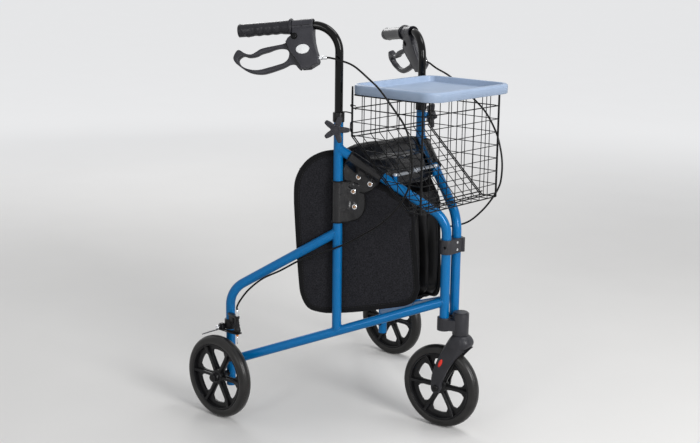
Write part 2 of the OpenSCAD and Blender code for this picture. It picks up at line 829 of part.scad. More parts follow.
// The side walls' rear posts carry the hooks, which lie on the collars and stop short of the handle tubes
hook_z = main_top + collar_lip + move_gap;
hook_clear = 3;
module basket_sides_shape() {
    outline = [[basket_ahead, basket_floor_z], [basket_ahead, basket_top], [-basket_behind, basket_top],
               [-basket_behind, slope_top_z], [-floor_behind, basket_floor_z]];
    inset = [[basket_ahead - wire_d / 2, basket_floor_z + wire_d / 2],
             [basket_ahead - wire_d / 2, basket_top - wire_d / 2],
             [-basket_behind + wire_d / 2, basket_top - wire_d / 2],
             [-basket_behind + wire_d / 2, slope_top_z + wire_d / 2],
             [-floor_behind + wire_d / 2, basket_floor_z + wire_d / 2]];
    for (side = [-1, 1])
        translate([0, side * (basket_w - wire_d) / 2, 0])
            upright(wire_d) {
                intersection() {
                    polygon(outline);
                    translate([-basket_behind, basket_floor_z])
                        grid(basket_ahead + basket_behind, basket_top - basket_floor_z);
                }
                for (i = [0 : 4])
                    bar(inset[i], inset[(i + 1) % 5], wire_d);
            }
    hook_root = [-basket_behind - wire_d / 2 - seat_fit, (basket_w - wire_d) / 2];
    hook_tip = [-main_back * cos(splay) + handle_d / 2 + hook_clear, half_gap + main_back * sin(splay) - hook_clear];
    for (side = [0, 1])
        mirror([0, side, 0])
            translate([0, 0, hook_z])
                linear_extrude(wire_d)
                    strip(hook_root, hook_tip, wire_d);
}

// Tray: a shallow dish on the basket's top
tray_bottom = basket_top + move_gap;
tray_w = basket_w + 2 * tray_lap;
tray_corner = 40;
tray_wall = 5;
tray_floor = 3;
module tray_shape() {
    translate([tray_len / 2 - tray_behind, 0, tray_bottom])
        difference() {
            linear_extrude(tray_h)
                round_rect([tray_len, tray_w], tray_corner);
            translate([0, 0, tray_h - tray_depth])
                linear_extrude(tray_h)
                    round_rect([tray_len - 2 * tray_wall, tray_w - 2 * tray_wall], tray_corner - tray_wall);
            translate([0, 0, tray_h - tray_depth - tray_floor - tray_h])
                linear_extrude(tray_h)
                    round_rect([tray_len - 2 * tray_wall, tray_w - 2 * tray_wall], tray_corner - tray_wall);
        }
}

// Bag: stiff side panels inside the frames, straps round the tubes, and soft walls between the panels
panel_out = [-tube_r - move_gap - panel_t, -tube_r - move_gap];
panel_outline = [[361, 545], [354, 590], [330, 626], [297, 646], [262, 653], [243, 650], [200, slope_z(200) - 20],
                 [140, slope_z(140) - 20], [96, slope_z(96) - 20], [82, 530], [74, 470], [62, 330], [72, 302],
                 [105, 289], [200, 270], [262, 262], [297, 262], [326, 271], [343, 300], [349, 340], [356, 440]];
module bag_panel_shape() {
    translate([0, (panel_out[0] + panel_out[1]) / 2, 0])
        upright(panel_t)
            polygon(smooth_ring(panel_outline, 3));
}
strap_t = 2;
strap_out = [panel_out[1] + 2, panel_out[1] + 2 + strap_t];
strap_drop = 172;
strap_low = upper_join_z - strap_drop;
strap_h = 96;
wrap_r = tube_r + move_gap;
// How far from a tube's axis a strap's flat part meets the part that goes round the tube
wrap_edge = sqrt(wrap_r * wrap_r - strap_out[1] * strap_out[1]) + 0.5;
// Where the strap round the sloped tube starts and ends along the frame
slope_wrap = [main_back - 100, main_back - 30];
module outer_half() {
    intersection() {
        children();
        translate([0, strap_out[0], 0])
            cube([leg_back, 4 * tube_d, main_top]);
    }
}
module bag_straps_shape() {
    outer_half() {
        difference() {
            translate([main_back, 0, strap_low])
                cylinder(r = wrap_r + strap_t, h = strap_h);
            translate([main_back, 0, strap_low - 1])
                cylinder(r = wrap_r, h = strap_h + 2);
        }
        difference() {
            rod(slope_at(slope_wrap[0]), slope_at(slope_wrap[1]), 2 * (wrap_r + strap_t));
            rod(slope_at(slope_wrap[0] - 20), slope_at(slope_wrap[1] + 20), 2 * wrap_r);
        }
    }
    main_edge = main_back - wrap_edge;
    strap_top = strap_low + strap_h;
    slope_edge = wrap_edge / cos(front_rise);
    translate([0, (strap_out[0] + strap_out[1]) / 2, 0])
        upright(strap_t) {
            polygon([[main_edge, strap_low], [main_edge, strap_top], [main_back - 46, strap_top],
                     [main_back - 58, strap_top - 13], [main_back - 62, strap_top - 48],
                     [main_back - 58, strap_low + 13], [main_back - 46, strap_low]]);
            polygon([slope_mark(-24, slope_edge), slope_mark(-106, slope_edge), slope_mark(-104, 34),
                     slope_mark(-76, 49), slope_mark(-54, 52), slope_mark(-32, 48), slope_mark(-22, 38)]);
        }
}
// A point of the frame's plane, given from the main tube and by its depth under the sloped tube's axis
function slope_mark(from_main, depth) =
    [main_back + from_main, slope_z(main_back + from_main) - depth];
function slope_at(along) = [along, 0, slope_z(along)];

// Press studs on the straps
snap_d = 11;
snap_t = 2;
snap_places = [[main_back - 35, strap_low + 72], [main_back - 38, strap_low + 36],
               slope_mark(-47, 37), slope_mark(-74, 36)];
module snaps_shape() {
    for (p = snap_places)
        translate([p[0], strap_out[1] + seat_fit, p[1]])
            rotate([-90, 0, 0])
                cylinder(d = snap_d, h = snap_t);
}

// Soft walls of the bag, X forward from the hinge line
function frame_xy(along, out) = [-along * cos(splay) + out * sin(splay), half_gap + along * sin(splay) + out * cos(splay)];
bag_in = panel_out[0] - move_gap;
module soft_wall(along_low, along_high, z_low, z_high) {
    low = frame_xy(along_low, bag_in);
    high = frame_xy(along_high, bag_in);
    translate([low[0], 0, z_low])
        linear_extrude(z_high - z_low)
            polygon([[0, -low[1]], [0, low[1]], [high[0] - low[0], high[1]], [high[0] - low[0], -high[1]]]);
}
// Where the soft walls stand along the frame and how high they reach
front_wall_at = 82;
front_wall_low = 312;
front_wall_high = 540;
back_wall_at = 335;
back_wall_low = 300;
back_wall_high = 600;
floor_front = 86;
floor_back = 338;
floor_low = 294;
module bag_front_shape() {
    soft_wall(front_wall_at, front_wall_at + cloth_t / cos(splay), front_wall_low, front_wall_high);
}
module bag_back_shape() {
    soft_wall(back_wall_at, back_wall_at + cloth_t / cos(splay), back_wall_low, back_wall_high);
}
module bag_floor_shape() {
    soft_wall(floor_front, floor_back, floor_low, floor_low + cloth_t);
}
// How far the lid reaches out past the axes of the sloped tubes
lid_over = 6;
// How far ahead of the main tube the lid starts and ends
lid_front = 114;
lid_back = 15.1;
module bag_lid_shape() {
    low = main_back - lid_front;
    high = main_back - lid_back;
    rise_back = (slope_z(high) - slope_z(low)) / ((high - low) * cos(splay));
    rise = (wrap_r + strap_t + move_gap) * norm([1, rise_back]);
    half_low = half_gap + low * sin(splay) + lid_over;
    half_high = half_gap + high * sin(splay) + lid_over;
    run = (high - low) * cos(splay);
    translate([-low * cos(splay), 0, slope_z(low) + rise])
        rotate([0, atan(rise_back), 0])
            linear_extrude(cloth_t)
                polygon([[0, -half_low], [0, half_low], [-run * norm([1, rise_back]), half_high],
                         [-run * norm([1, rise_back]), -half_high]]);
}

// Brake cables, from the lever's adjuster to the sleeve at the wheel, in the whole part's frame
function turn_x(p, a) = [p[0], p[1] * cos(a) - p[2] * sin(a), p[1] * sin(a) + p[2] * cos(a)];
function turn_y(p, a) = [p[0] * cos(a) + p[2] * sin(a), p[1], p[2] * cos(a) - p[0] * sin(a)];
function turn_z(p, a) = [p[0] * cos(a) - p[1] * sin(a), p[0] * sin(a) + p[1] * cos(a), p[2]];
function right_side_point(p) = [hinge_x, -half_gap, 0] + turn_z(p, 180 + splay);
function right_grip_point(p) =
    right_side_point([main_back, 0, 0] + turn_z(grip_origin + turn_y(turn_x(p, lever_tilt), grip_droop),
                                                handle_yaw - splay));
cable_gap = 0.6;
// How far the cable runs straight at each end
cable_straight = 8;
cable_head = [for (out = [cable_gap, cable_gap + cable_straight])
    right_grip_point([adjuster_end - out, 0, adjuster_at[1]])];
cable_end = [leg_x + wire_at[0], -leg_y - wire_at[1], stop_z + stop_t + seat_fit + sleeve_h + cable_gap];
// Ahead, outward and up, for each side's loop in front of the basket and for the run back to the wheel
right_loop = [[8, 176, 866], [28, 173, 863], [70, 170, 853], [116, 168, 826], [144, 166, 806], [180, 164, 770],
              [212, 161, 733], [228, 160, 695], [233, 158, 650], [225, 153, 612], [211, 150, 581], [188, 148, 548],
              [134, 138, 502], [84, 139, 469], [36, 161, 438]];
left_loop = [[12, 176, 832], [34, 176, 821], [70, 175, 808], [110, 172, 787], [150, 170, 760], [190, 167, 731],
             [222, 165, 690], [238, 163, 655], [247, 161, 620], [249, 158, 586], [245, 155, 560], [228, 151, 528],
             [202, 147, 495], [166, 142, 464], [110, 144, 444], [46, 160, 430]];
wheel_run = [[-20, 190, 410], [-53, 209, 395], [-95, 235, 366], [-130, 256, 345], [-155, 277, 318],
             [-168, 292, 293]];
cable_tail = [cable_end + [0, 0, cable_straight], cable_end];
function across(points) = [for (p = points) [p[0], -p[1], p[2]]];
right_route = concat(cable_head, across(concat(right_loop, wheel_run)), cable_tail);
left_head = [for (p = across(cable_head)) p - [0, 0, left_drop]];
left_route = concat(left_head, left_loop, wheel_run, across(cable_tail));
module cord(route, d) {
    sides = 8;
    path = smooth_path(route, 3);
    last = len(path) - 1;
    rings = [for (i = [0 : last])
        let (ahead = path[min(i + 1, last)] - path[max(i - 1, 0)],
             along = ahead / norm(ahead),
             across = cross(along, [0, 1, 0]) / norm(cross(along, [0, 1, 0])),
             other = cross(along, across))
        [for (k = [0 : sides - 1])
            path[i] + d / 2 * (cos(k * 360 / sides) * across + sin(k * 360 / sides) * other)]];
    points = [for (ring = rings, p = ring) p];
    walls = [for (i = [0 : last - 1], k = [0 : sides - 1])
        let (a = i * sides + k, b = i * sides + (k + 1) % sides)
        each [[a, a + sides, b + sides], [a, b + sides, b]]];
    caps = [for (k = [1 : sides - 2])
        each [[0, k, k + 1], [last * sides, last * sides + k + 1, last * sides + k]]];
    polyhedron(points = points, faces = concat(walls, caps));
}

// Sub-parts
module at_hinge() {
    translate([hinge_x, 0, 0])
        children();
}
module lower_bracket() color(dark_grey) at_hinge() lower_bracket_shape();
module upper_clamp() color(dark_grey) at_hinge() upper_clamp_shape();
module hinge_rivets() color(silver) at_hinge() hinge_rivets_shape();

module right_main_tube() color(blue) right_side() main_tube_shape();
module right_front_tube() color(blue) right_side() front_tube_shape();
module right_rear_tube() color(blue) right_side() rear_tube_shape();
module right_lower_rail() color(blue) right_side() lower_rail_shape();
module right_collar() color(black) right_side() collar_shape();
module right_brake_bracket() color(black) right_leg() brake_bracket_shape();
module right_frame_fittings() color(silver) {
    right_leg() leg_fittings_shape();
    right_side() snaps_shape();
}
module right_axle() color(silver) right_leg() axle_shape();
module right_bag_panel() color(black) right_side() bag_panel_shape();
module right_bag_straps() color(black) right_side() bag_straps_shape();
module right_brake_cable() color(black) cord(right_route, cable_d);
module right_wheel() color(black) right_leg() rear_wheel_place() wheel_rim();
module right_tyre() color(rubber) right_leg() rear_wheel_place() tyre();
module right_handle_tube() color(black) right_handle() handle_tube_shape();
module right_grip() color(rubber) right_handle() grip_shape();
module right_housing() color(dark_grey) right_handle() housing_shape();
module right_handle_fittings() color(silver) right_handle() handle_fittings_shape();
module right_lever() color(dark_grey) right_handle() lever_shape();
module right_brake_arm() color(silver) right_leg() brake_arm_shape();
module right_knob() color(dark_grey) right_side() knob_shape();
module right_brace_link() color(zinc) right_side() brace_link_shape(0);

module left_main_tube() color(blue) left_side() main_tube_shape();
module left_front_tube() color(blue) left_side() front_tube_shape();
module left_rear_tube() color(blue) left_side() rear_tube_shape();
module left_lower_rail() color(blue) left_side() lower_rail_shape();
module left_collar() color(black) left_side() collar_shape();
module left_brake_bracket() color(black) left_leg() brake_bracket_shape();
module left_frame_fittings() color(silver) {
    left_leg() leg_fittings_shape();
    left_side() snaps_shape();
}
module left_axle() color(silver) left_leg() axle_shape();
module left_bag_panel() color(black) left_side() bag_panel_shape();
module left_bag_straps() color(black) left_side() bag_straps_shape();
module left_brake_cable() color(black) cord(left_route, cable_d);
module left_wheel() color(black) left_leg() rear_wheel_place() wheel_rim();
module left_tyre() color(rubber) left_leg() rear_wheel_place() tyre();
module left_handle_tube() color(black) left_handle() handle_tube_shape();
module left_grip() color(rubber) left_handle() grip_shape();
module left_housing() color(dark_grey) left_handle() housing_shape();
module left_handle_fittings() color(silver) left_handle() handle_fittings_shape();
module left_lever() color(dark_grey) left_handle() lever_shape();
module left_brake_arm() color(silver) left_leg() brake_arm_shape();
module left_knob() color(dark_grey) left_side() knob_shape();
module left_brace_link() color(zinc) left_side() brace_link_shape(1);

module caster_fork() color(dark_grey) caster_place() fork_shape();
module caster_axle() color(silver) caster_place() caster_axle_shape();
module reflectors() color(red) caster_place() reflectors_shape();
module caster_wheel() color(black) caster_wheel_place() wheel_rim();
module caster_tyre() color(rubber) caster_wheel_place() tyre();

module basket_front() color(black) at_hinge() basket_front_shape();
module basket_back() color(black) at_hinge() basket_back_shape();
module basket_slope() color(black) at_hinge() basket_slope_shape();
module basket_floor() color(black) at_hinge() basket_floor_shape();
module basket_sides() color(black) at_hinge() basket_sides_shape();
module tray() color(tray_grey) at_hinge() tray_shape();

module bag_front() color(black) at_hinge() bag_front_shape();
module bag_back() color(black) at_hinge() bag_back_shape();
module bag_floor() color(black) at_hinge() bag_floor_shape();
module bag_lid() color(black) at_hinge() bag_lid_shape();

lower_bracket();
upper_clamp();
hinge_rivets();
right_main_tube();
right_front_tube();
right_rear_tube();
right_lower_rail();
right_collar();
right_brake_bracket();
right_frame_fittings();
right_axle();
right_bag_panel();
right_bag_straps();
right_brake_cable();
right_wheel();
right_tyre();
right_handle_tube();
right_grip();
right_housing();
right_handle_fittings();
right_lever();
right_brake_arm();
right_knob();
right_brace_link();
left_main_tube();
left_front_tube();
left_rear_tube();
left_lower_rail();
left_collar();
left_brake_bracket();
left_frame_fittings();
left_axle();
left_bag_panel();
left_bag_straps();
left_brake_cable();
left_wheel();
left_tyre();
left_handle_tube();
left_grip();
left_housing();
left_handle_fittings();
left_lever();
left_brake_arm();
left_knob();
left_brace_link();
caster_fork();
caster_axle();
reflectors();
caster_wheel();
caster_tyre();
basket_front();
basket_back();
basket_slope();
basket_floor();
basket_sides();
tray();
bag_front();
bag_back();
bag_floor();
bag_lid();
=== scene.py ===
"""Looks of the three wheel rollator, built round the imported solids. Metres, in the part's own frame."""
import math

import bmesh
import bpy
import numpy as np
from mathutils import Matrix, Vector, noise


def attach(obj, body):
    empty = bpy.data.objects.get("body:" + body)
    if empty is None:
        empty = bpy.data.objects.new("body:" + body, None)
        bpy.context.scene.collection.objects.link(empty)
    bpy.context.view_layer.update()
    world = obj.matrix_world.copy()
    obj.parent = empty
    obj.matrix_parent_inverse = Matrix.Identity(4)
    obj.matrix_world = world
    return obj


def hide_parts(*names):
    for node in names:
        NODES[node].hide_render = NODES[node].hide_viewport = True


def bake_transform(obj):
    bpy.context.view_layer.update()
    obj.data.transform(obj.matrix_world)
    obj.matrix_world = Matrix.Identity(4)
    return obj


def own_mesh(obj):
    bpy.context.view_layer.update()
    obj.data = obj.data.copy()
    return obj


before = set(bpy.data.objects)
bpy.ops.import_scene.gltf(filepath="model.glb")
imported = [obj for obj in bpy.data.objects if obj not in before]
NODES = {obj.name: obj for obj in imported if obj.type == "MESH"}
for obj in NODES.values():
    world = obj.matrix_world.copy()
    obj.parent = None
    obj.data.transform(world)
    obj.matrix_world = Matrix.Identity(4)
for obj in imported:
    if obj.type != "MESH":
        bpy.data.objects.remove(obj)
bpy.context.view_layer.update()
scene = bpy.context.scene
SIDES = {"right": -1, "left": 1}

# Sizes shared with the solids
SPLAY = math.radians(31)
HALF_GAP = 0.019
MAIN_BACK = 0.254
LEG_BACK = 0.513
STEM_AHEAD = 0.034
TRAIL = 0.048
CASTER_TURN = math.radians(6)
HINGE_X = (LEG_BACK * math.cos(SPLAY) - STEM_AHEAD + TRAIL * math.cos(CASTER_TURN)) / 2
LEG_X = HINGE_X - LEG_BACK * math.cos(SPLAY)
LEG_Y = HALF_GAP + LEG_BACK * math.sin(SPLAY)
TUBE_R = 0.0111
FRONT_CORNER_Z = 0.506
UPPER_JOIN_Z = 0.659
REAR_JOIN_Z = 0.463
REAR_CORNER_Z = 0.306
RAIL_FRONT_Z = 0.312
RAIL_LEG_Z = 0.130
MAIN_TOP = 0.738
WHEEL_R = 0.100
WHEEL_OUT = 0.0385
RIM_R = 0.081
TYRE_W = 0.028
HUB_LEN = 0.036
GRIP_DROOP = math.radians(6)
HANDLE_YAW = math.radians(28)
LEVER_TILT = math.radians(16)
HANDLE_BEND_R = 0.058
HANDLE_BEND_Z = 0.878
HANDLE_R = 0.0095
LEFT_DROP = 0.032
GRIP_START = 0.045
GRIP_END = 0.173


# Places: points of a side frame, of a leg, of a grip and of the caster, as arrays in the part's frame
def side_points(side, points):
    """Points given as distance back along the side frame, distance outward and height."""
    p = np.asarray(points, float).reshape(-1, 3)
    sign = SIDES[side]
    x = HINGE_X - p[:, 0] * math.cos(SPLAY) + p[:, 1] * math.sin(SPLAY)
    y = sign * (HALF_GAP + p[:, 0] * math.sin(SPLAY) + p[:, 1] * math.cos(SPLAY))
    return np.stack([x, y, p[:, 2]], 1)


def leg_points(side, points):
    """Points given as distance ahead of the leg, distance outward and height."""
    p = np.asarray(points, float).reshape(-1, 3)
    sign = SIDES[side]
    return np.stack([LEG_X + p[:, 0], sign * (LEG_Y + p[:, 1]), p[:, 2]], 1)


def turned(points, axis, angle):
    """Points turned about an axis through the origin."""
    return np.asarray(points, float).reshape(-1, 3) @ np.array(Matrix.Rotation(angle, 3, axis)).T


GRIP_ORIGIN = np.array([HANDLE_BEND_R * (1 + math.sin(GRIP_DROOP)), 0,
                        HANDLE_BEND_Z + HANDLE_BEND_R * math.cos(GRIP_DROOP)])


def grip_points(side, points, tilt=0.0):
    """Points given along the grip, outward across it and up."""
    p = GRIP_ORIGIN + turned(turned(points, "X", tilt), "Y", GRIP_DROOP)
    p = np.array([MAIN_BACK, 0, 0]) + turned(p, "Z", HANDLE_YAW - SPLAY)
    p = side_points(side, p)
    if side == "left":
        p[:, 2] -= LEFT_DROP
    return p


def caster_points(points):
    """Points given ahead of the swivel axis, to the left and up."""
    return turned(points, "Z", CASTER_TURN) + np.array([HINGE_X + STEM_AHEAD, 0, 0])


def hinge_points(points):
    """Points given ahead of the hinge line, to the left and up."""
    return np.asarray(points, float).reshape(-1, 3) + np.array([HINGE_X, 0, 0])


def slope_z(along):
    """Height of the sloped front tube's axis."""
    return FRONT_CORNER_Z + (UPPER_JOIN_Z - FRONT_CORNER_Z) * along / MAIN_BACK


def rail_z(along):
    """Height of the lower rail's axis."""
    return RAIL_FRONT_Z + (RAIL_LEG_Z - RAIL_FRONT_Z) * along / LEG_BACK


def rear_z(along):
    """Height of the rear tube's axis."""
    return REAR_JOIN_Z - (REAR_JOIN_Z - REAR_CORNER_Z) * (along - MAIN_BACK) / (LEG_BACK - MAIN_BACK)


def crosswise(points, x=0.0, y=0.0, z=0.0):
    """Points of a flat or turned shape, with its thickness or axis laid along y and then moved."""
    return np.stack([points[:, 0] + x, points[:, 2] + y, points[:, 1] + z], 1)


def mirrored(profile):
    """Pairs followed by their mirror image, in reverse order."""
    return profile + [(a, -b) for a, b in reversed(profile)]


def metres(outline):
    """Pairs in millimetres as metres."""
    return np.array(outline, float) / 1000


# Mesh makers. Each gives points and faces, and join() puts several into one.
def smooth_path(points, steps, closed=False):
    """Points on a smooth curve through the given ones."""
    p = np.asarray(points, float)
    n = len(p)
    out = []
    for i in range(n if closed else n - 1):
        if closed:
            a, b, c, d = p[(i - 1) % n], p[i], p[(i + 1) % n], p[(i + 2) % n]
        else:
            a, b, c, d = p[max(i - 1, 0)], p[i], p[i + 1], p[min(i + 2, n - 1)]
        for k in range(steps):
            t = k / steps
            out.append(0.5 * (2 * b + (c - a) * t + (2 * a - 5 * b + 4 * c - d) * t * t
                              + (3 * b - a - 3 * c + d) * t ** 3))
    if not closed:
        out.append(p[-1])
    return np.array(out)


def loft(rings, closed_rings=True, loop=False, cap_start=False, cap_end=False):
    """A skin over rings of equal length."""
    rings = [np.asarray(r, float) for r in rings]
    n = len(rings[0])
    points = np.concatenate(rings)
    faces = []
    spans = len(rings) if loop else len(rings) - 1
    for i in range(spans):
        base, following = i * n, ((i + 1) % len(rings)) * n
        for k in range(n if closed_rings else n - 1):
            after = (k + 1) % n
            faces.append((base + k, base + after, following + after, following + k))
    if cap_start:
        faces.append(tuple(reversed(range(n))))
    if cap_end:
        faces.append(tuple(range((len(rings) - 1) * n, len(rings) * n)))
    return points, faces


def sweep(path, radius, sides=10, closed=False, flat=1.0, normal=None):
    """A round bar along a path; flat squeezes its section across the given normal."""
    p = np.asarray(path, float)
    n = len(p)
    if closed:
        ahead = np.roll(p, -1, 0) - np.roll(p, 1, 0)
    else:
        ahead = np.gradient(p, axis=0)
    ahead /= np.linalg.norm(ahead, axis=1)[:, None]
    guide = np.array(normal if normal is not None else (0.0, 0.0, 1.0))
    if normal is None and abs(ahead[0] @ guide) > 0.9:
        guide = np.array((1.0, 0.0, 0.0))
    radii = np.broadcast_to(np.asarray(radius, float), (n,))
    angles = np.linspace(0, 2 * math.pi, sides, endpoint=False)
    rings = []
    across = guide
    for i in range(n):
        across = (guide if normal is not None else across)
        across = across - ahead[i] * (across @ ahead[i])
        across = across / np.linalg.norm(across)
        other = np.cross(ahead[i], across)
        ring = [p[i] + radii[i] * (flat * math.cos(a) * across + math.sin(a) * other) for a in angles]
        rings.append(ring)
    return loft(rings, loop=closed, cap_start=not closed, cap_end=not closed)


def lathe(profile, place, steps=64, closed=True):
    """A turned shape: profile holds (radius, height) pairs, and place puts (x, y, z) with z along the axis."""
    rings = []
    for r, h in profile:
        a = np.linspace(0, 2 * math.pi, steps, endpoint=False)
        rings.append(np.stack([r * np.cos(a), r * np.sin(a), np.full(steps, h)], 1))
    points, faces = loft(rings, loop=closed)
    return place(points), faces


def plate(loops, thickness, bevel, place, segments=3):
    """A flat plate with rounded edges and holes, cut to loops of (x, y); its thickness is centred on z."""
    curve = bpy.data.curves.new("plate", "CURVE")
    curve.dimensions = "2D"
    curve.fill_mode = "BOTH"
    curve.extrude = thickness / 2 - bevel
    curve.bevel_depth = bevel
    curve.bevel_resolution = segments
    curve.offset = -bevel
    for loop in loops:
        spline = curve.splines.new("POLY")
        spline.points.add(len(loop) - 1)
        for point, xy in zip(spline.points, loop):
            point.co = (xy[0], xy[1], 0, 1)
        spline.use_cyclic_u = True
    holder = bpy.data.objects.new("plate", curve)
    scene.collection.objects.link(holder)
    bpy.context.view_layer.update()
    mesh = bpy.data.meshes.new_from_object(holder.evaluated_get(bpy.context.evaluated_depsgraph_get()))
    points = np.array([v.co for v in mesh.vertices], float).reshape(-1, 3)
    faces = [tuple(f.vertices) for f in mesh.polygons]
    bpy.data.objects.remove(holder)
    bpy.data.curves.remove(curve)
    bpy.data.meshes.remove(mesh)
    return place(points), faces


def join(*parts):
    """Several (points, faces) as one."""
    points, faces, start = [], [], 0
    for p, f in parts:
        points.append(np.asarray(p, float))
        faces += [tuple(i + start for i in face) for face in f]
        start += len(p)
    return np.concatenate(points), faces


def piece(name, shape, material, body, replaces=(), sharp=40, solid=True):
    """A mesh of the object that rides on a body. A solid's faces are turned outward; a sheet's stay as given."""
    points, faces = shape
    mesh = bpy.data.meshes.new(name)
    mesh.from_pydata([tuple(p) for p in points], [], faces)
    mesh.validate()
    made = bpy.data.objects.new(name, mesh)
    scene.collection.objects.link(made)
    if solid:
        turn_outward(mesh)
    mesh.shade_smooth()
    mesh.set_sharp_from_angle(angle=math.radians(sharp))
    mesh.materials.append(material)
    if body:
        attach(made, body)
    for node in replaces:
        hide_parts(node)
    return made


def turn_outward(mesh):
    """Welds the mesh and turns its faces outward."""
    shape = bmesh.new()
    shape.from_mesh(mesh)
    bmesh.ops.remove_doubles(shape, verts=shape.verts, dist=1e-6)
    bmesh.ops.recalc_face_normals(shape, faces=shape.faces)
    shape.to_mesh(mesh)
    shape.free()


def both_sides(make):
    """Calls make for each side's name."""
    for side in SIDES:
        make(side)


# Materials
def new_material(name, color, roughness, metallic=0.0, coat=0.0, coat_roughness=0.05, sheen=0.0, specular=0.5):
    """A principled material, its node tree and its shader."""
    material = bpy.data.materials.new(name)
    material.use_nodes = True
    tree = material.node_tree
    shader = tree.nodes["Principled BSDF"]
    shader.inputs["Base Color"].default_value = (*color, 1)
    shader.inputs["Roughness"].default_value = roughness
    shader.inputs["Metallic"].default_value = metallic
    shader.inputs["Coat Weight"].default_value = coat
    shader.inputs["Coat Roughness"].default_value = coat_roughness
    shader.inputs["Sheen Weight"].default_value = sheen
    shader.inputs["Specular IOR Level"].default_value = specular
    return material, tree, shader


def texture_node(tree, kind, scale, **values):
    """A texture in object coordinates."""
    coordinates = tree.nodes.get("Texture Coordinate") or tree.nodes.new("ShaderNodeTexCoord")
    coordinates.name = "Texture Coordinate"
    node = tree.nodes.new(kind)
    node.inputs["Scale"].default_value = scale
    for key, value in values.items():
        node.inputs[key].default_value = value
    tree.links.new(coordinates.outputs["Object"], node.inputs["Vector"])
    return node


def vary_color(tree, shader, texture_output, dark, light, low=0.35, high=0.65):
    """Base colour between two values over a texture."""
    ramp = tree.nodes.new("ShaderNodeValToRGB")
    ramp.color_ramp.elements[0].position = low
    ramp.color_ramp.elements[0].color = (*dark, 1)
    ramp.color_ramp.elements[1].position = high
    ramp.color_ramp.elements[1].color = (*light, 1)
    tree.links.new(texture_output, ramp.inputs["Fac"])
    tree.links.new(ramp.outputs["Color"], shader.inputs["Base Color"])


def vary_roughness(tree, shader, texture_output, low, high):
    """Roughness between two values over a texture."""
    spread = tree.nodes.new("ShaderNodeMapRange")
    spread.inputs["To Min"].default_value = low
    spread.inputs["To Max"].default_value = high
    tree.links.new(texture_output, spread.inputs["Value"])
    tree.links.new(spread.outputs["Result"], shader.inputs["Roughness"])


def add_bump(tree, shader, height_output, strength, distance):
    """Fine relief from a texture."""
    bump = tree.nodes.new("ShaderNodeBump")
    bump.inputs["Strength"].default_value = strength
    bump.inputs["Distance"].default_value = distance
    tree.links.new(height_output, bump.inputs["Height"])
    tree.links.new(bump.outputs["Normal"], shader.inputs["Normal"])
    return bump


def blue_paint():
    material, tree, shader = new_material("blue_paint", (0.0005, 0.135, 0.37), 0.28, metallic=0.1, coat=0.22,
                                          specular=0.12)
    flake = texture_node(tree, "ShaderNodeTexVoronoi", 2600)
    vary_color(tree, shader, flake.outputs["Color"], (0.0003, 0.117, 0.325), (0.0008, 0.155, 0.42), 0.2, 0.8)
    peel = texture_node(tree, "ShaderNodeTexNoise", 260, Detail=2)
    add_bump(tree, shader, peel.outputs["Fac"], 0.06, 0.0004)
    return material


def gloss_black(name, color, roughness, coat=0.8):
    material, tree, shader = new_material(name, color, roughness, coat=coat, specular=0.12)
    cloud = texture_node(tree, "ShaderNodeTexNoise", 90, Detail=4)
    vary_roughness(tree, shader, cloud.outputs["Fac"], roughness * 0.8, roughness * 1.3)
    peel = texture_node(tree, "ShaderNodeTexNoise", 400, Detail=2)
    add_bump(tree, shader, peel.outputs["Fac"], 0.05, 0.0004)
    return material


def moulded_plastic(name, dark, light, roughness, grain=1500, relief=0.12, specular=0.4):
    material, tree, shader = new_material(name, light, roughness, specular=specular)
    cloud = texture_node(tree, "ShaderNodeTexNoise", 35, Detail=5)
    vary_color(tree, shader, cloud.outputs["Fac"], dark, light)
    speck = texture_node(tree, "ShaderNodeTexNoise", grain, Detail=3)
    vary_roughness(tree, shader, speck.outputs["Fac"], roughness * 0.85, min(1.0, roughness * 1.2))
    add_bump(tree, shader, speck.outputs["Fac"], relief, 0.0003)
    return material


def bright_metal(name, color, roughness):
    material, tree, shader = new_material(name, color, roughness, metallic=1.0)
    brushed = texture_node(tree, "ShaderNodeTexNoise", 600, Detail=4)
    vary_roughness(tree, shader, brushed.outputs["Fac"], roughness * 0.7, roughness * 1.4)
    add_bump(tree, shader, brushed.outputs["Fac"], 0.05, 0.0002)
    return material


def woven_cloth(name, dark, light):
    material, tree, shader = new_material(name, light, 0.75, sheen=0.06, specular=0.12)
    shader.inputs["Sheen Roughness"].default_value = 0.5
    warp = texture_node(tree, "ShaderNodeTexWave", 420)
    warp.bands_direction = "X"
    weft = texture_node(tree, "ShaderNodeTexWave", 420)
    weft.bands_direction = "Z"
    weave = tree.nodes.new("ShaderNodeMath")
    weave.operation = "MULTIPLY"
    tree.links.new(warp.outputs["Fac"], weave.inputs[0])
    tree.links.new(weft.outputs["Fac"], weave.inputs[1])
    fleck = texture_node(tree, "ShaderNodeTexNoise", 420, Detail=5)
    vary_color(tree, shader, fleck.outputs["Fac"], dark, light, 0.36, 0.66)
    add_bump(tree, shader, weave.outputs["Value"], 0.35, 0.0004)
    return material


def soft_vinyl(name, dark, light, roughness, coat):
    material, tree, shader = new_material(name, light, roughness, coat=coat, coat_roughness=0.16, specular=0.2)
    grain = texture_node(tree, "ShaderNodeTexVoronoi", 1300)
    grain.feature = "DISTANCE_TO_EDGE"
    cloud = texture_node(tree, "ShaderNodeTexNoise", 22, Detail=5)
    vary_color(tree, shader, cloud.outputs["Fac"], dark, light)
    vary_roughness(tree, shader, cloud.outputs["Fac"], roughness * 0.75, roughness * 1.3)
    add_bump(tree, shader, grain.outputs["Distance"], 0.08, 0.0003)
    return material


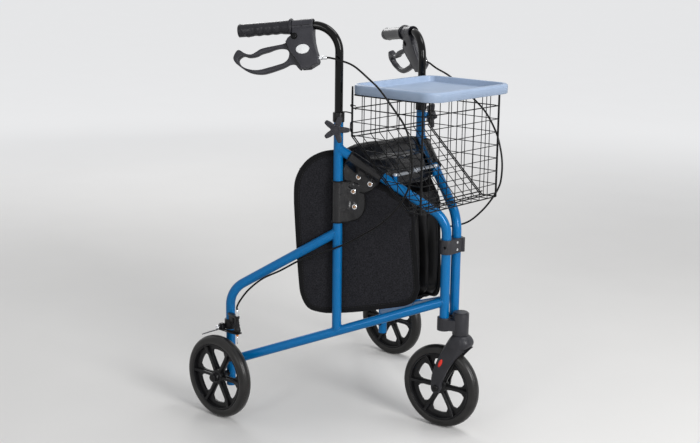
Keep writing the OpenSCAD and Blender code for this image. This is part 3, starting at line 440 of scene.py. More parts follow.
BLUE = blue_paint()
BLACK_TUBE = gloss_black("black_tube", (0.002, 0.002, 0.0022), 0.11, coat=0.2)
WIRE_COAT = gloss_black("wire_coat", (0.004, 0.004, 0.0045), 0.28, coat=0.08)
CABLE = gloss_black("cable_sheath", (0.004, 0.004, 0.004), 0.28, coat=0.1)
GREY_PLASTIC = moulded_plastic("grey_plastic", (0.024, 0.024, 0.030), (0.034, 0.034, 0.041), 0.4, specular=0.28)
HINGE_PLASTIC = moulded_plastic("hinge_plastic", (0.020, 0.020, 0.024), (0.029, 0.029, 0.034), 0.38, specular=0.28)
BLACK_PLASTIC = moulded_plastic("black_plastic", (0.006, 0.006, 0.007), (0.012, 0.012, 0.013), 0.32, specular=0.22)
GRIP_RUBBER = moulded_plastic("grip_rubber", (0.010, 0.010, 0.013), (0.017, 0.017, 0.021), 0.33, 900, 0.06, 0.32)
TYRE_RUBBER = moulded_plastic("tyre_rubber", (0.010, 0.0097, 0.0095), (0.018, 0.017, 0.0165), 0.3, 700, 0.08, 0.34)
TRAY_PLASTIC = moulded_plastic("tray_plastic", (0.27, 0.35, 0.48), (0.3, 0.38, 0.515), 0.42, 1100, 0.15)
RED_LENS = moulded_plastic("red_lens", (0.72, 0.02, 0.01), (0.85, 0.04, 0.02), 0.2, 700, 0.3)
PALE_PLATE = moulded_plastic("pale_plate", (0.72, 0.73, 0.75), (0.8, 0.81, 0.82), 0.35)
ORANGE_CAP = moulded_plastic("orange_cap", (0.7, 0.2, 0.03), (0.8, 0.26, 0.04), 0.4)
STEEL = bright_metal("bright_steel", (0.72, 0.73, 0.75), 0.22)
ZINC = bright_metal("zinc_steel", (0.5, 0.53, 0.57), 0.36)
DARK_STEEL = bright_metal("dark_steel", (0.16, 0.165, 0.175), 0.3)
BRONZE = bright_metal("bronze", (0.3, 0.19, 0.12), 0.3)
CLOTH = woven_cloth("bag_cloth", (0.005, 0.005, 0.0066), (0.022, 0.0222, 0.0268))
BINDING = woven_cloth("bag_binding", (0.003, 0.003, 0.0036), (0.006, 0.006, 0.007))
THREAD = woven_cloth("thread", (0.026, 0.026, 0.028), (0.036, 0.036, 0.039))
VINYL = soft_vinyl("bag_vinyl", (0.0035, 0.0035, 0.0045), (0.007, 0.007, 0.0085), 0.26, 0.45)
WALL_VINYL = soft_vinyl("bag_wall_vinyl", (0.003, 0.003, 0.0035), (0.006, 0.006, 0.007), 0.42, 0.1)

# Materials of the solids that show; pieces replace the other solids
SIDE_NODES = {
    BLUE: ["main_tube", "front_tube", "rear_tube", "lower_rail"],
    BLACK_TUBE: ["handle_tube"],
    BLACK_PLASTIC: ["collar"],
    WIRE_COAT: ["axle"],
    ZINC: ["brace_link"],
}
SHOWN_NODES = [("lower_bracket", HINGE_PLASTIC), ("upper_clamp", HINGE_PLASTIC), ("hinge_rivets", STEEL)]
for side_material, stems in SIDE_NODES.items():
    SHOWN_NODES += [(f"{side}_{stem}", side_material) for stem in stems for side in SIDES]
for node_name, node_material in SHOWN_NODES:
    NODES[node_name].data.materials.clear()
    NODES[node_name].data.materials.append(node_material)


def soften(width, *names, segments=3, angle=35):
    """Rounded edges on moulded solids."""
    for name in names:
        weld = NODES[name].modifiers.new("weld", "WELD")
        weld.merge_threshold = 1e-5
        bevel = NODES[name].modifiers.new("round", "BEVEL")
        bevel.width = width
        bevel.segments = segments
        bevel.limit_method = "ANGLE"
        bevel.angle_limit = math.radians(angle)
        bevel.harden_normals = True


# Camera at the photograph's angle, with the image taken as 700 by 443
CAMERA_AT = (1.9089, -2.2413, 1.1302)
AZIMUTH = math.radians(41.67)
PITCH = math.radians(12.81)
ROLL = math.radians(0.71)
LENS = 64.33
SENSOR_WIDTH = 36


def make_camera():
    ahead = Vector((-math.sin(AZIMUTH) * math.cos(PITCH), math.cos(AZIMUTH) * math.cos(PITCH), -math.sin(PITCH)))
    level = Vector((math.cos(AZIMUTH), math.sin(AZIMUTH), 0))
    upright = level.cross(ahead)
    right = level * math.cos(ROLL) + upright * math.sin(ROLL)
    up = upright * math.cos(ROLL) - level * math.sin(ROLL)
    data = bpy.data.cameras.new("camera")
    data.sensor_width = SENSOR_WIDTH
    data.lens = LENS
    camera = bpy.data.objects.new("camera", data)
    scene.collection.objects.link(camera)
    camera.matrix_world = Matrix.Translation(CAMERA_AT) @ Matrix((right, up, -ahead)).transposed().to_4x4()
    scene.camera = camera


# Floor, world and lamps: each lamp's name, place, size and watts
FLOOR_HALF = 30
LAMP_TARGET = (0, 0, 0.5)
LAMPS = [("window", (3.0, -0.7, 1.6), (1.1, 1.5), 74), ("side", (0.7, -3.3, 1.5), (0.5, 1.3), 13),
         ("back", (-2.6, 1.6, 2.2), (1.2, 1.2), 26), ("ceiling", (0.9, 0.7, 2.8), (1.2, 1.2), 24)]


def looking_rays(tree):
    """1 for what the camera sees directly, in a reflection or through glass."""
    rays = tree.nodes.new("ShaderNodeLightPath")
    total = rays.outputs["Is Camera Ray"]
    for name in ("Is Glossy Ray", "Is Transmission Ray"):
        either = tree.nodes.new("ShaderNodeMath")
        either.operation = "MAXIMUM"
        tree.links.new(total, either.inputs[0])
        tree.links.new(rays.outputs[name], either.inputs[1])
        total = either.outputs["Value"]
    return total


def floor_material():
    """A pale floor that keeps the shadows near the object and fades to an even tone; other rays see a duller one."""
    material = bpy.data.materials.new("floor")
    material.use_nodes = True
    tree = material.node_tree
    nodes, links = tree.nodes, tree.links
    nodes.clear()
    cloud = texture_node(tree, "ShaderNodeTexNoise", 3, Detail=4)
    tone = nodes.new("ShaderNodeValToRGB")
    tone.color_ramp.elements[0].color = (0.72, 0.71, 0.695, 1)
    tone.color_ramp.elements[1].color = (0.76, 0.75, 0.735, 1)
    links.new(cloud.outputs["Fac"], tone.inputs["Fac"])
    lit = nodes.new("ShaderNodeBsdfDiffuse")
    links.new(tone.outputs["Color"], lit.inputs["Color"])
    distance = nodes.new("ShaderNodeVectorMath")
    distance.operation = "LENGTH"
    links.new(nodes["Texture Coordinate"].outputs["Object"], distance.inputs[0])
    fade = nodes.new("ShaderNodeMapRange")
    fade.interpolation_type = "SMOOTHSTEP"
    fade.inputs["From Min"].default_value = 1.4
    fade.inputs["From Max"].default_value = 5.2
    fade.inputs["To Max"].default_value = 0.5
    links.new(distance.outputs["Value"], fade.inputs["Value"])
    glow = nodes.new("ShaderNodeEmission")
    glow.inputs["Color"].default_value = (0.98, 0.985, 1.0, 1)
    links.new(fade.outputs["Result"], glow.inputs["Strength"])
    seen = nodes.new("ShaderNodeAddShader")
    links.new(lit.outputs["BSDF"], seen.inputs[0])
    links.new(glow.outputs["Emission"], seen.inputs[1])
    dull = nodes.new("ShaderNodeBsdfDiffuse")
    dull.inputs["Color"].default_value = (0.5, 0.48, 0.45, 1)
    choice = nodes.new("ShaderNodeMixShader")
    links.new(looking_rays(tree), choice.inputs["Fac"])
    links.new(dull.outputs["BSDF"], choice.inputs[1])
    links.new(seen.outputs["Shader"], choice.inputs[2])
    output = nodes.new("ShaderNodeOutputMaterial")
    links.new(choice.outputs["Shader"], output.inputs["Surface"])
    return material


def make_world():
    """Even room light, with a pale tone where the camera looks past the floor."""
    world = bpy.data.worlds.new("studio")
    scene.world = world
    world.use_nodes = True
    nodes, links = world.node_tree.nodes, world.node_tree.links
    room = nodes["Background"]
    room.inputs["Color"].default_value = (0.95, 0.97, 1.0, 1)
    room.inputs["Strength"].default_value = 0.42
    seen = nodes.new("ShaderNodeBackground")
    seen.inputs["Color"].default_value = (0.74, 0.742, 0.746, 1)
    choice = nodes.new("ShaderNodeMixShader")
    links.new(looking_rays(world.node_tree), choice.inputs["Fac"])
    links.new(room.outputs["Background"], choice.inputs[1])
    links.new(seen.outputs["Background"], choice.inputs[2])
    links.new(choice.outputs["Shader"], nodes["World Output"].inputs["Surface"])


def make_lamp(name, place, size, watts):
    """A soft rectangular lamp that looks at the object."""
    data = bpy.data.lights.new(name, "AREA")
    data.shape = "RECTANGLE"
    data.size, data.size_y = size
    data.energy = watts
    light = bpy.data.objects.new(name, data)
    scene.collection.objects.link(light)
    light.location = place
    light.rotation_euler = (Vector(LAMP_TARGET) - Vector(place)).to_track_quat("-Z", "Y").to_euler()


def make_stage():
    scene.view_settings.view_transform = "Standard"
    mesh = bpy.data.meshes.new("floor")
    corners = [(x * FLOOR_HALF, y * FLOOR_HALF, 0) for x, y in ((-1, -1), (1, -1), (1, 1), (-1, 1))]
    mesh.from_pydata(corners, [], [(0, 1, 2, 3)])
    mesh.materials.append(floor_material())
    floor = bpy.data.objects.new("floor", mesh)
    scene.collection.objects.link(floor)
    make_world()
    for lamp in LAMPS:
        make_lamp(*lamp)


# Brake cables: the route from the lever's adjuster to the sleeve at the wheel
CABLE_R = 0.00225
CABLE_GAP = 0.0006
ADJUSTER_END = -0.0252
ADJUSTER_Z = -0.076
WIRE_AHEAD = 0.040
WIRE_OUT = 0.0161
SLEEVE_TOP = 0.26802
CABLE_STRAIGHT = 0.008
LOOPS = {
    "right": [(0.008, 0.176, 0.866), (0.028, 0.173, 0.863), (0.070, 0.170, 0.853), (0.116, 0.168, 0.826),
              (0.144, 0.166, 0.806), (0.180, 0.164, 0.770), (0.212, 0.161, 0.733), (0.228, 0.160, 0.695),
              (0.233, 0.158, 0.650), (0.225, 0.153, 0.612), (0.211, 0.150, 0.581), (0.188, 0.148, 0.548),
              (0.134, 0.138, 0.502), (0.084, 0.139, 0.469), (0.036, 0.161, 0.438)],
    "left": [(0.012, 0.176, 0.832), (0.034, 0.176, 0.821), (0.070, 0.175, 0.808), (0.110, 0.172, 0.787),
             (0.150, 0.170, 0.760), (0.190, 0.167, 0.731), (0.222, 0.165, 0.690), (0.238, 0.163, 0.655),
             (0.247, 0.161, 0.620), (0.249, 0.158, 0.586), (0.245, 0.155, 0.560), (0.228, 0.151, 0.528),
             (0.202, 0.147, 0.495), (0.166, 0.142, 0.464), (0.110, 0.144, 0.444), (0.046, 0.160, 0.430)],
}
WHEEL_RUN = [(-0.020, 0.190, 0.410), (-0.053, 0.209, 0.395), (-0.095, 0.235, 0.366), (-0.130, 0.256, 0.345),
             (-0.155, 0.277, 0.318), (-0.168, 0.292, 0.293)]
UPPER_SPANS = 5
CABLE_STEPS = 6


def cable_route(side):
    """Points of a cable's whole way, straight at both ends."""
    start = ADJUSTER_END - CABLE_GAP
    head = grip_points(side, [(x, 0, ADJUSTER_Z) for x in (start, start - CABLE_STRAIGHT)], LEVER_TILT)
    end = leg_points(side, [(WIRE_AHEAD, WIRE_OUT, SLEEVE_TOP + CABLE_GAP)])[0]
    points = np.array(LOOPS[side] + WHEEL_RUN) * (1, SIDES[side], 1)
    return np.concatenate([head, points, [end + np.array([0, 0, CABLE_STRAIGHT]), end]])


def path_length(path):
    """Length along a path."""
    return float(np.linalg.norm(np.diff(path, axis=0), axis=1).sum())


def make_cable(side):
    path = smooth_path(cable_route(side), CABLE_STEPS)
    cut = UPPER_SPANS * CABLE_STEPS
    upper_path, lower_path = path[:cut + 1], path[cut:]
    node = f"{side}_brake_cable"
    upper = piece(f"{side}_cable_upper", sweep(upper_path, CABLE_R), CABLE, None, [node])
    lower = piece(f"{side}_cable_lower", sweep(lower_path, CABLE_R), CABLE, None, [node])
    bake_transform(upper)
    ahead = lower_path[lower_path[:, 0].argmax()]
    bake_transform(lower)
    for made, route in ((upper, upper_path), (lower, lower_path)):
        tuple(route[0])
        path_length(route)


# Grips: a flange, finger dimples on the outer and lower side, and a slanted rimmed end
GRIP_R = 0.0153
FLANGE_R = 0.0195
FLANGE_W = 0.0065
DIMPLES = (0.075, 0.095, 0.115, 0.135)
DIMPLE_DEPTH = 0.0026
RIM_LIFT = 0.0013
RIM_STEP = 0.0008


def grip_radius(s, out, up):
    """Radius of a grip at a distance along it, in a direction given outward and up."""
    past = s - GRIP_START
    if past < FLANGE_W:
        r = FLANGE_R - 0.0012 * abs(2 * past / FLANGE_W - 1) ** 3
    else:
        r = GRIP_R + 0.0018 * math.exp(-(past - FLANGE_W) / 0.009)
    for place in DIMPLES:
        dip = math.exp(-((s - place) / 0.0062) ** 2)
        r -= DIMPLE_DEPTH * dip * max(0.0, 0.75 * out - 0.5 * up) ** 0.8
    slant = GRIP_END - 0.012 + 0.009 * up
    r += RIM_LIFT * math.exp(-((s - slant) / 0.0016) ** 2)
    return r - RIM_STEP if s > slant else r


def make_grip(side):
    steps, around = 76, 40
    ways = [(math.cos(a), math.sin(a)) for a in np.linspace(0, 2 * math.pi, around, endpoint=False)]
    rings = []
    for i in range(steps + 1):
        s = GRIP_START + (GRIP_END - GRIP_START) * i / steps
        radii = [grip_radius(s, out, up) for out, up in ways]
        rings.append([(s, r * out, r * up) for r, (out, up) in zip(radii, ways)])
    bore_share = (HANDLE_R + 0.00002) / FLANGE_R
    inner = [(GRIP_START, y * bore_share, z * bore_share) for s, y, z in rings[0]]
    end = rings[-1]
    for past, share in ((0.0004, 0.9), (-0.0006, 0.55)):
        rings.append([(GRIP_END + past, y * share, z * share) for s, y, z in end])
    points, faces = loft([inner] + rings, cap_end=True)
    piece(f"{side}_grip_cover", (grip_points(side, points), faces), GRIP_RUBBER, f"{side}_handle_body",
          [f"{side}_grip"])


# Brake lever housing, lever and their small pieces; (x, y) of an outline is along the grip and up
HOUSING_OUTLINE = [(44, -4), (-5, -4), (-4.5, -20), (-6, -38), (-10, -57), (-13.5, -68), (-15.5, -83), (-14, -88),
                   (7, -99), (24.5, -99), (27, -91), (39, -72), (51, -56), (54.5, -48), (57.5, -38), (58.5, -33.5),
                   (55, -27), (44, -19)]
HOUSING_WEB = [(44, -4), (-5, -4), (-4.5, -20), (-6, -38), (-10, -57), (-13.5, -68), (-15.5, -83), (-14, -88),
               (2, -96), (2, -50), (18, -15.5), (44, -15.5)]
LEVER_OUTER = [(44, -18), (54, -28), (66, -37.5), (100, -42), (120, -45.5), (131, -51), (142, -56), (153, -55),
               (163, -50.5), (173, -44), (180, -47.5), (187, -61), (183, -72), (173, -81.5), (158, -93), (144, -100),
               (125, -104), (106, -103), (68, -93.5), (52, -87), (40, -88), (33, -96), (27, -101), (23, -92),
               (26, -60), (30, -24), (36, -17)]
LEVER_INNER = [(54, -60), (60, -51.5), (73, -48.5), (88, -50), (101, -54), (120, -58), (132, -63), (149, -64),
               (162, -60), (172, -65), (174, -71), (170, -79), (160, -86), (148, -90.5), (134, -93), (120, -92.5),
               (101, -89), (82, -85), (67, -81), (57, -73)]
HOUSING_W = 0.026
POCKET_W = 0.0118
LEVER_T = 0.011
PIVOT = (0.0385, -0.024)
PIVOT_SCREW = [(0, 0.0002), (0.0052, 0.0002), (0.0052, 0.0016), (0.0044, 0.0024), (0.0026, 0.0026), (0.0023, 0.0012),
               (0, 0.0012)]
PIVOT_SOCKET = [(0, -0.0002), (0.0076, -0.0002), (0.0076, 0.0008), (0.0068, 0.0012), (0.0062, 0.0004), (0, 0.0004)]
OVAL_AT = (0.0193, -0.0550)
OVAL_SIZE = (0.0155, 0.0106)


def lever_place(side, across=0.0, x=0.0, up=0.0):
    """Puts flat or turned shapes, whose z is across the lever, into the tilted lever frame."""
    return lambda points: grip_points(side, crosswise(points, x, across, up), LEVER_TILT)


def along_place(side, up=0.0):
    """Puts turned shapes with their axis along the grip."""
    return lambda points: grip_points(side, points[:, [2, 0, 1]] + np.array([0, 0, up]), LEVER_TILT)


def make_housing(side):
    body = f"{side}_handle_body"
    cheek_t = (HOUSING_W - POCKET_W) / 2
    cheek_at = (HOUSING_W + POCKET_W) / 4
    outline = metres(HOUSING_OUTLINE)
    parts = [plate([outline], cheek_t, 0.0016, lever_place(side, s * cheek_at)) for s in (-1, 1)]
    parts.append(plate([metres(HOUSING_WEB)], POCKET_W + 0.001, 0.0003, lever_place(side)))
    ring_r, start, end = HANDLE_R + 0.0055, -0.005, GRIP_START - 0.0002
    bore = HANDLE_R + 0.00005
    parts.append(lathe([(bore, 0), (ring_r - 0.0012, start), (ring_r, start + 0.0012), (ring_r, 0.0195),
                        (ring_r - 0.0008, 0.0202), (ring_r - 0.0008, 0.0212), (ring_r, 0.0219),
                        (ring_r, end - 0.0012), (ring_r - 0.0012, end), (bore, end)], along_place(side)))
    piece(f"{side}_housing_shell", join(*parts), GREY_PLASTIC, body, [f"{side}_housing"], sharp=32)

    # A plain oval plate, the pivot's screws in their recesses, a black strip by the lever that is painted shadow of
    # the gap there, and the clamp's split line
    face = HOUSING_W / 2
    oval = [(OVAL_AT[0] + OVAL_SIZE[0] * math.cos(a), OVAL_AT[1] + OVAL_SIZE[1] * math.sin(a))
            for a in np.linspace(0, 2 * math.pi, 40, endpoint=False)]
    oval_plate = plate([oval], 0.0012, 0.0004, lever_place(side, face + 0.0003))
    piece(f"{side}_housing_oval", oval_plate, PALE_PLATE, body)
    screws, sockets_seam_and_gap_shadow = [], []
    for s in (-1, 1):
        at = lever_place(side, s * face, *PIVOT)
        screws.append(lathe([(r, s * h) for r, h in PIVOT_SCREW], at, 24, closed=False))
        sockets_seam_and_gap_shadow.append(lathe([(r, s * h) for r, h in PIVOT_SOCKET], at, 32, closed=False))
        # A thin black strip along the housing's edge next to the lever: painted shadow of the gap between lever and
        # housing
        lip_and_gap_shadow = [(x, s * (face - 0.0006), z) for x, z in outline[10:16]]
        sockets_seam_and_gap_shadow.append(sweep(grip_points(side, lip_and_gap_shadow, LEVER_TILT), 0.0010, 8))
        split = [(x, s * ring_r, -0.0008) for x in (0.0005, 0.0205, 0.0425)]
        sockets_seam_and_gap_shadow.append(sweep(grip_points(side, split, LEVER_TILT), 0.0005, 6))
    piece(f"{side}_pivot_screws", join(*screws, *sockets_seam_and_gap_shadow), WIRE_COAT, body,
          [f"{side}_handle_fittings"])

    # Cable adjuster: radius and distance from its end
    steps = [(0.0023, -0.0080), (0.0034, -0.0080), (0.0040, -0.0072), (0.0040, 0.0004), (0.0036, 0.0010),
             (0.0036, 0.0022), (0.0043, 0.0028), (0.0043, 0.0180), (0.0023, 0.0180)]
    adjuster = lathe([(r, ADJUSTER_END + h) for r, h in steps], along_place(side, ADJUSTER_Z), 24)
    piece(f"{side}_cable_adjuster", adjuster, STEEL, body)


def make_lever(side):
    loops = [smooth_path(metres(LEVER_OUTER), 4, True), smooth_path(metres(LEVER_INNER), 4, True)]

    def widened(points):
        points[:, 2] *= np.interp(points[:, 0], (0.056, 0.080), (1.0, 1.4))
        return lever_place(side)(points)

    loop = plate(loops, LEVER_T, 0.003, widened, segments=4)
    piece(f"{side}_lever_loop", loop, GREY_PLASTIC, f"{side}_lever_body", [f"{side}_lever"], sharp=50)


# Clamp knobs: a five-armed star with a recessed cap
KNOB_Z = 0.706
KNOB_R = 0.031
KNOB_BASE = TUBE_R + 0.0074
KNOB_WAIST_R = 0.0125
KNOB_ARM = [(-0.30, 0.0215), (-0.135, KNOB_R - 0.0008), (0.0, KNOB_R), (0.135, KNOB_R - 0.0008), (0.30, 0.0215)]
KNOB_HUB = [(0.0031, 0), (0.0085, 0), (0.0095, 0.004), (0.0118, 0.0055), (0.0118, 0.0158), (0.0108, 0.0169),
            (0.0086, 0.0169), (0.0078, 0.0152), (0.0042, 0.0152), (0.0036, 0.0162), (0, 0.0164)]


def make_knob(side):
    def place(points):
        return side_points(side, crosswise(points, MAIN_BACK, 0, KNOB_Z))

    def star(points):
        return place(points + np.array([0, 0, KNOB_BASE + 0.0092]))

    outline = []
    for k in range(10):
        a = math.pi + k * math.pi / 5
        for turn, r in KNOB_ARM if k % 2 == 0 else [(0.0, KNOB_WAIST_R)]:
            outline.append((r * math.cos(a + turn), r * math.sin(a + turn)))
    arms = plate([smooth_path(outline, 4, True)], 0.0086, 0.0028, star, segments=4)
    hub = lathe([(r, KNOB_BASE + h) for r, h in KNOB_HUB], place, 40, closed=False)
    stud_start, stud_end = HANDLE_R + 0.0004, KNOB_BASE + 0.004
    stud = lathe([(0, stud_start), (0.003, stud_start), (0.003, stud_end), (0, stud_end)], place, 20, closed=False)
    piece(f"{side}_knob_star", join(arms, hub, stud), GREY_PLASTIC, f"{side}_knob_body",
          [f"{side}_knob"])


# Wheels: a barrel with a deep dish, a web with ribs, a hub and a tyre
SPOKES = 6
HUB_BORE = 0.00505
SPOKE_WEB = [(0.0150, 0.0085), (0.0260, 0.0062), (0.0480, 0.0062), (0.0570, 0.0085), (0.0625, 0.0150),
             (0.0665, 0.0190), (0.0690, 0.0190)]
SPOKE_RIB = [(0.0140, 0.0095), (0.0300, 0.0086), (0.0550, 0.0084), (0.0705, 0.0100), (0.0772, 0.0118)]


def wheel_shape(place):
    """The rim of a wheel about its own centre, with z along the axle."""
    half, hub = TYRE_W / 2 - 0.0015, HUB_LEN / 2
    barrel = [(RIM_R, half), (RIM_R - 0.0008, half + 0.0008), (RIM_R - 0.003, half + 0.0008), (RIM_R - 0.0038, half),
              (RIM_R - 0.0045, 0.0035), (0.0675, 0.0030), (0.0655, 0.0022)]
    middle = [(HUB_BORE, hub), (0.0095, hub), (0.0105, hub - 0.001), (0.0115, 0.0115), (0.0165, 0.010),
              (0.0172, 0.0085)]
    parts = [lathe(mirrored(barrel), place, 96), lathe(mirrored(middle), place, 48)]
    for angle in np.linspace(0, 2 * math.pi, SPOKES, endpoint=False):
        def web(points, angle=angle):
            return place(turned(points, "Z", angle))

        def rib(points, angle=angle):
            return place(turned(crosswise(points), "Z", angle))

        parts.append(plate([mirrored(SPOKE_WEB)], 0.0056, 0.0008, web))
        parts.append(plate([mirrored(SPOKE_RIB)], 0.0072, 0.0016, rib))
    return join(*parts)


def tyre_shape(place):
    half, r = TYRE_W / 2, WHEEL_R
    crown = [(RIM_R + 0.00002, -half + 0.0016), (RIM_R + 0.0012, -half + 0.0004), (RIM_R + 0.004, -half),
             (r - 0.0085, -half), (r - 0.0048, -half + 0.0013), (r - 0.0022, -half + 0.0046),
             (r - 0.0012, -half + 0.0068), (r - 0.0016, -half + 0.0076), (r - 0.0009, -half + 0.0084),
             (r - 0.0002, -0.0030)]
    return lathe(crown + [(r, 0.0)] + [(x, -y) for x, y in reversed(crown)], place, 128)


def make_wheel(name, place):
    """A rim and its tyre on the wheel's own body."""
    body = f"{name}_wheel_body"
    piece(f"{name}_wheel_rim", wheel_shape(place), BLACK_PLASTIC, body, [f"{name}_wheel"], sharp=35)
    piece(f"{name}_wheel_tyre", tyre_shape(place), TYRE_RUBBER, body, [f"{name}_tyre"], sharp=50)


def make_rear_wheel(side):
    make_wheel(side, lambda points: leg_points(side, crosswise(points, 0, WHEEL_OUT, WHEEL_R)))


def make_caster_wheel():
    make_wheel("caster", lambda points: caster_points(crosswise(points, -TRAIL, 0, WHEEL_R)))


# Tray: a thin dish with a rolled rim
TRAY_LEN = 0.250
TRAY_W = 0.298
TRAY_BEHIND = 0.194
TRAY_CORNER = 0.040
RECESS_CORNER = 0.031
TRAY_BOTTOM = 0.7864
TRAY_H = 0.022
TRAY_DEPTH = 0.014


def round_rect(length, width, radius, z, corner_steps=10):
    """A level ring with round corners, centred."""
    ring = []
    for cx, cy, start in ((1, 1, 0), (-1, 1, 90), (-1, -1, 180), (1, -1, 270)):
        for k in range(corner_steps + 1):
            a = math.radians(start + 90 * k / corner_steps)
            ring.append((cx * (length / 2 - radius) + radius * math.cos(a),
                         cy * (width / 2 - radius) + radius * math.sin(a), z))
    return ring


def make_tray():
    low, top = TRAY_BOTTOM, TRAY_BOTTOM + TRAY_H
    floor = top - TRAY_DEPTH
    skirt = [(0.0065, low + 0.004), (0.0035, low), (0.0015, low), (0.0006, low + 0.0008), (0.0, top - 0.0062),
             (0.0003, top - 0.0042), (0.0012, top - 0.0024), (0.0028, top - 0.0010), (0.0048, top - 0.0002),
             (0.0066, top)]
    recess = [(0.0122, top), (0.0134, top - 0.0004), (0.0140, top - 0.0014), (0.0152, floor + 0.0022),
              (0.0158, floor + 0.0008), (0.0172, floor)]
    under = [(0.0172, floor - 0.003), (0.0160, floor - 0.0024), (0.0085, low + 0.0042)]
    rows = skirt + recess
    corners = [TRAY_CORNER - i for i, z in skirt] + [RECESS_CORNER - i for i, z in recess + under]
    rings = [round_rect(TRAY_LEN - 2 * i, TRAY_W - 2 * i, r, z) for (i, z), r in zip(rows + under, corners)]
    points, faces = loft(rings, loop=True)

    # The skin between the recess and the underside gives way to a floor and a bottom
    count = len(rings[0])
    first, second = (len(rows) - 1) * count, len(rows) * count
    faces = [f for f in faces if not (first <= min(f) < second <= max(f))]
    faces += [tuple(range(first, first + count)), tuple(reversed(range(second, second + count)))]
    shift = np.array([TRAY_LEN / 2 - TRAY_BEHIND, 0, 0])
    piece("tray_dish", (hinge_points(points + shift), faces), TRAY_PLASTIC, "tray_body", ["tray"],
          sharp=60)


# Basket: round coated wire in layers, with thick double wires at the edges and hooks to the collars
BASKET_HALF = 0.143
BASKET_AHEAD = 0.021
BASKET_BEHIND = 0.186
FLOOR_BEHIND = 0.020
BASKET_FLOOR_Z = 0.537
SLOPE_TOP_Z = 0.689
BASKET_TOP = 0.786
WIRE_R = 0.0010
EDGE_R = 0.0018
POST_R = 0.0025
WIRE_PITCH = 0.0345
RIM_CORNER = 0.012
RIM_DROP = 0.030
SLOPE_DOUBLE = 0.0062


def spaced(low, high):
    """Places of evenly spaced wires, with both ends."""
    return np.linspace(low, high, math.ceil((high - low) / WIRE_PITCH) + 1)


def wall_bottom(x):
    """Lower edge of a side wall at a distance ahead of the hinge line."""
    if x >= -FLOOR_BEHIND:
        return BASKET_FLOOR_Z
    share = (-FLOOR_BEHIND - x) / (BASKET_BEHIND - FLOOR_BEHIND)
    return BASKET_FLOOR_Z + share * (SLOPE_TOP_Z - BASKET_FLOOR_Z)


def wall_back(z):
    """Rear end of a side wall's level wire at a height."""
    if z >= SLOPE_TOP_Z:
        return -BASKET_BEHIND
    share = (z - BASKET_FLOOR_Z) / (SLOPE_TOP_Z - BASKET_FLOOR_Z)
    return -FLOOR_BEHIND - share * (BASKET_BEHIND - FLOOR_BEHIND)


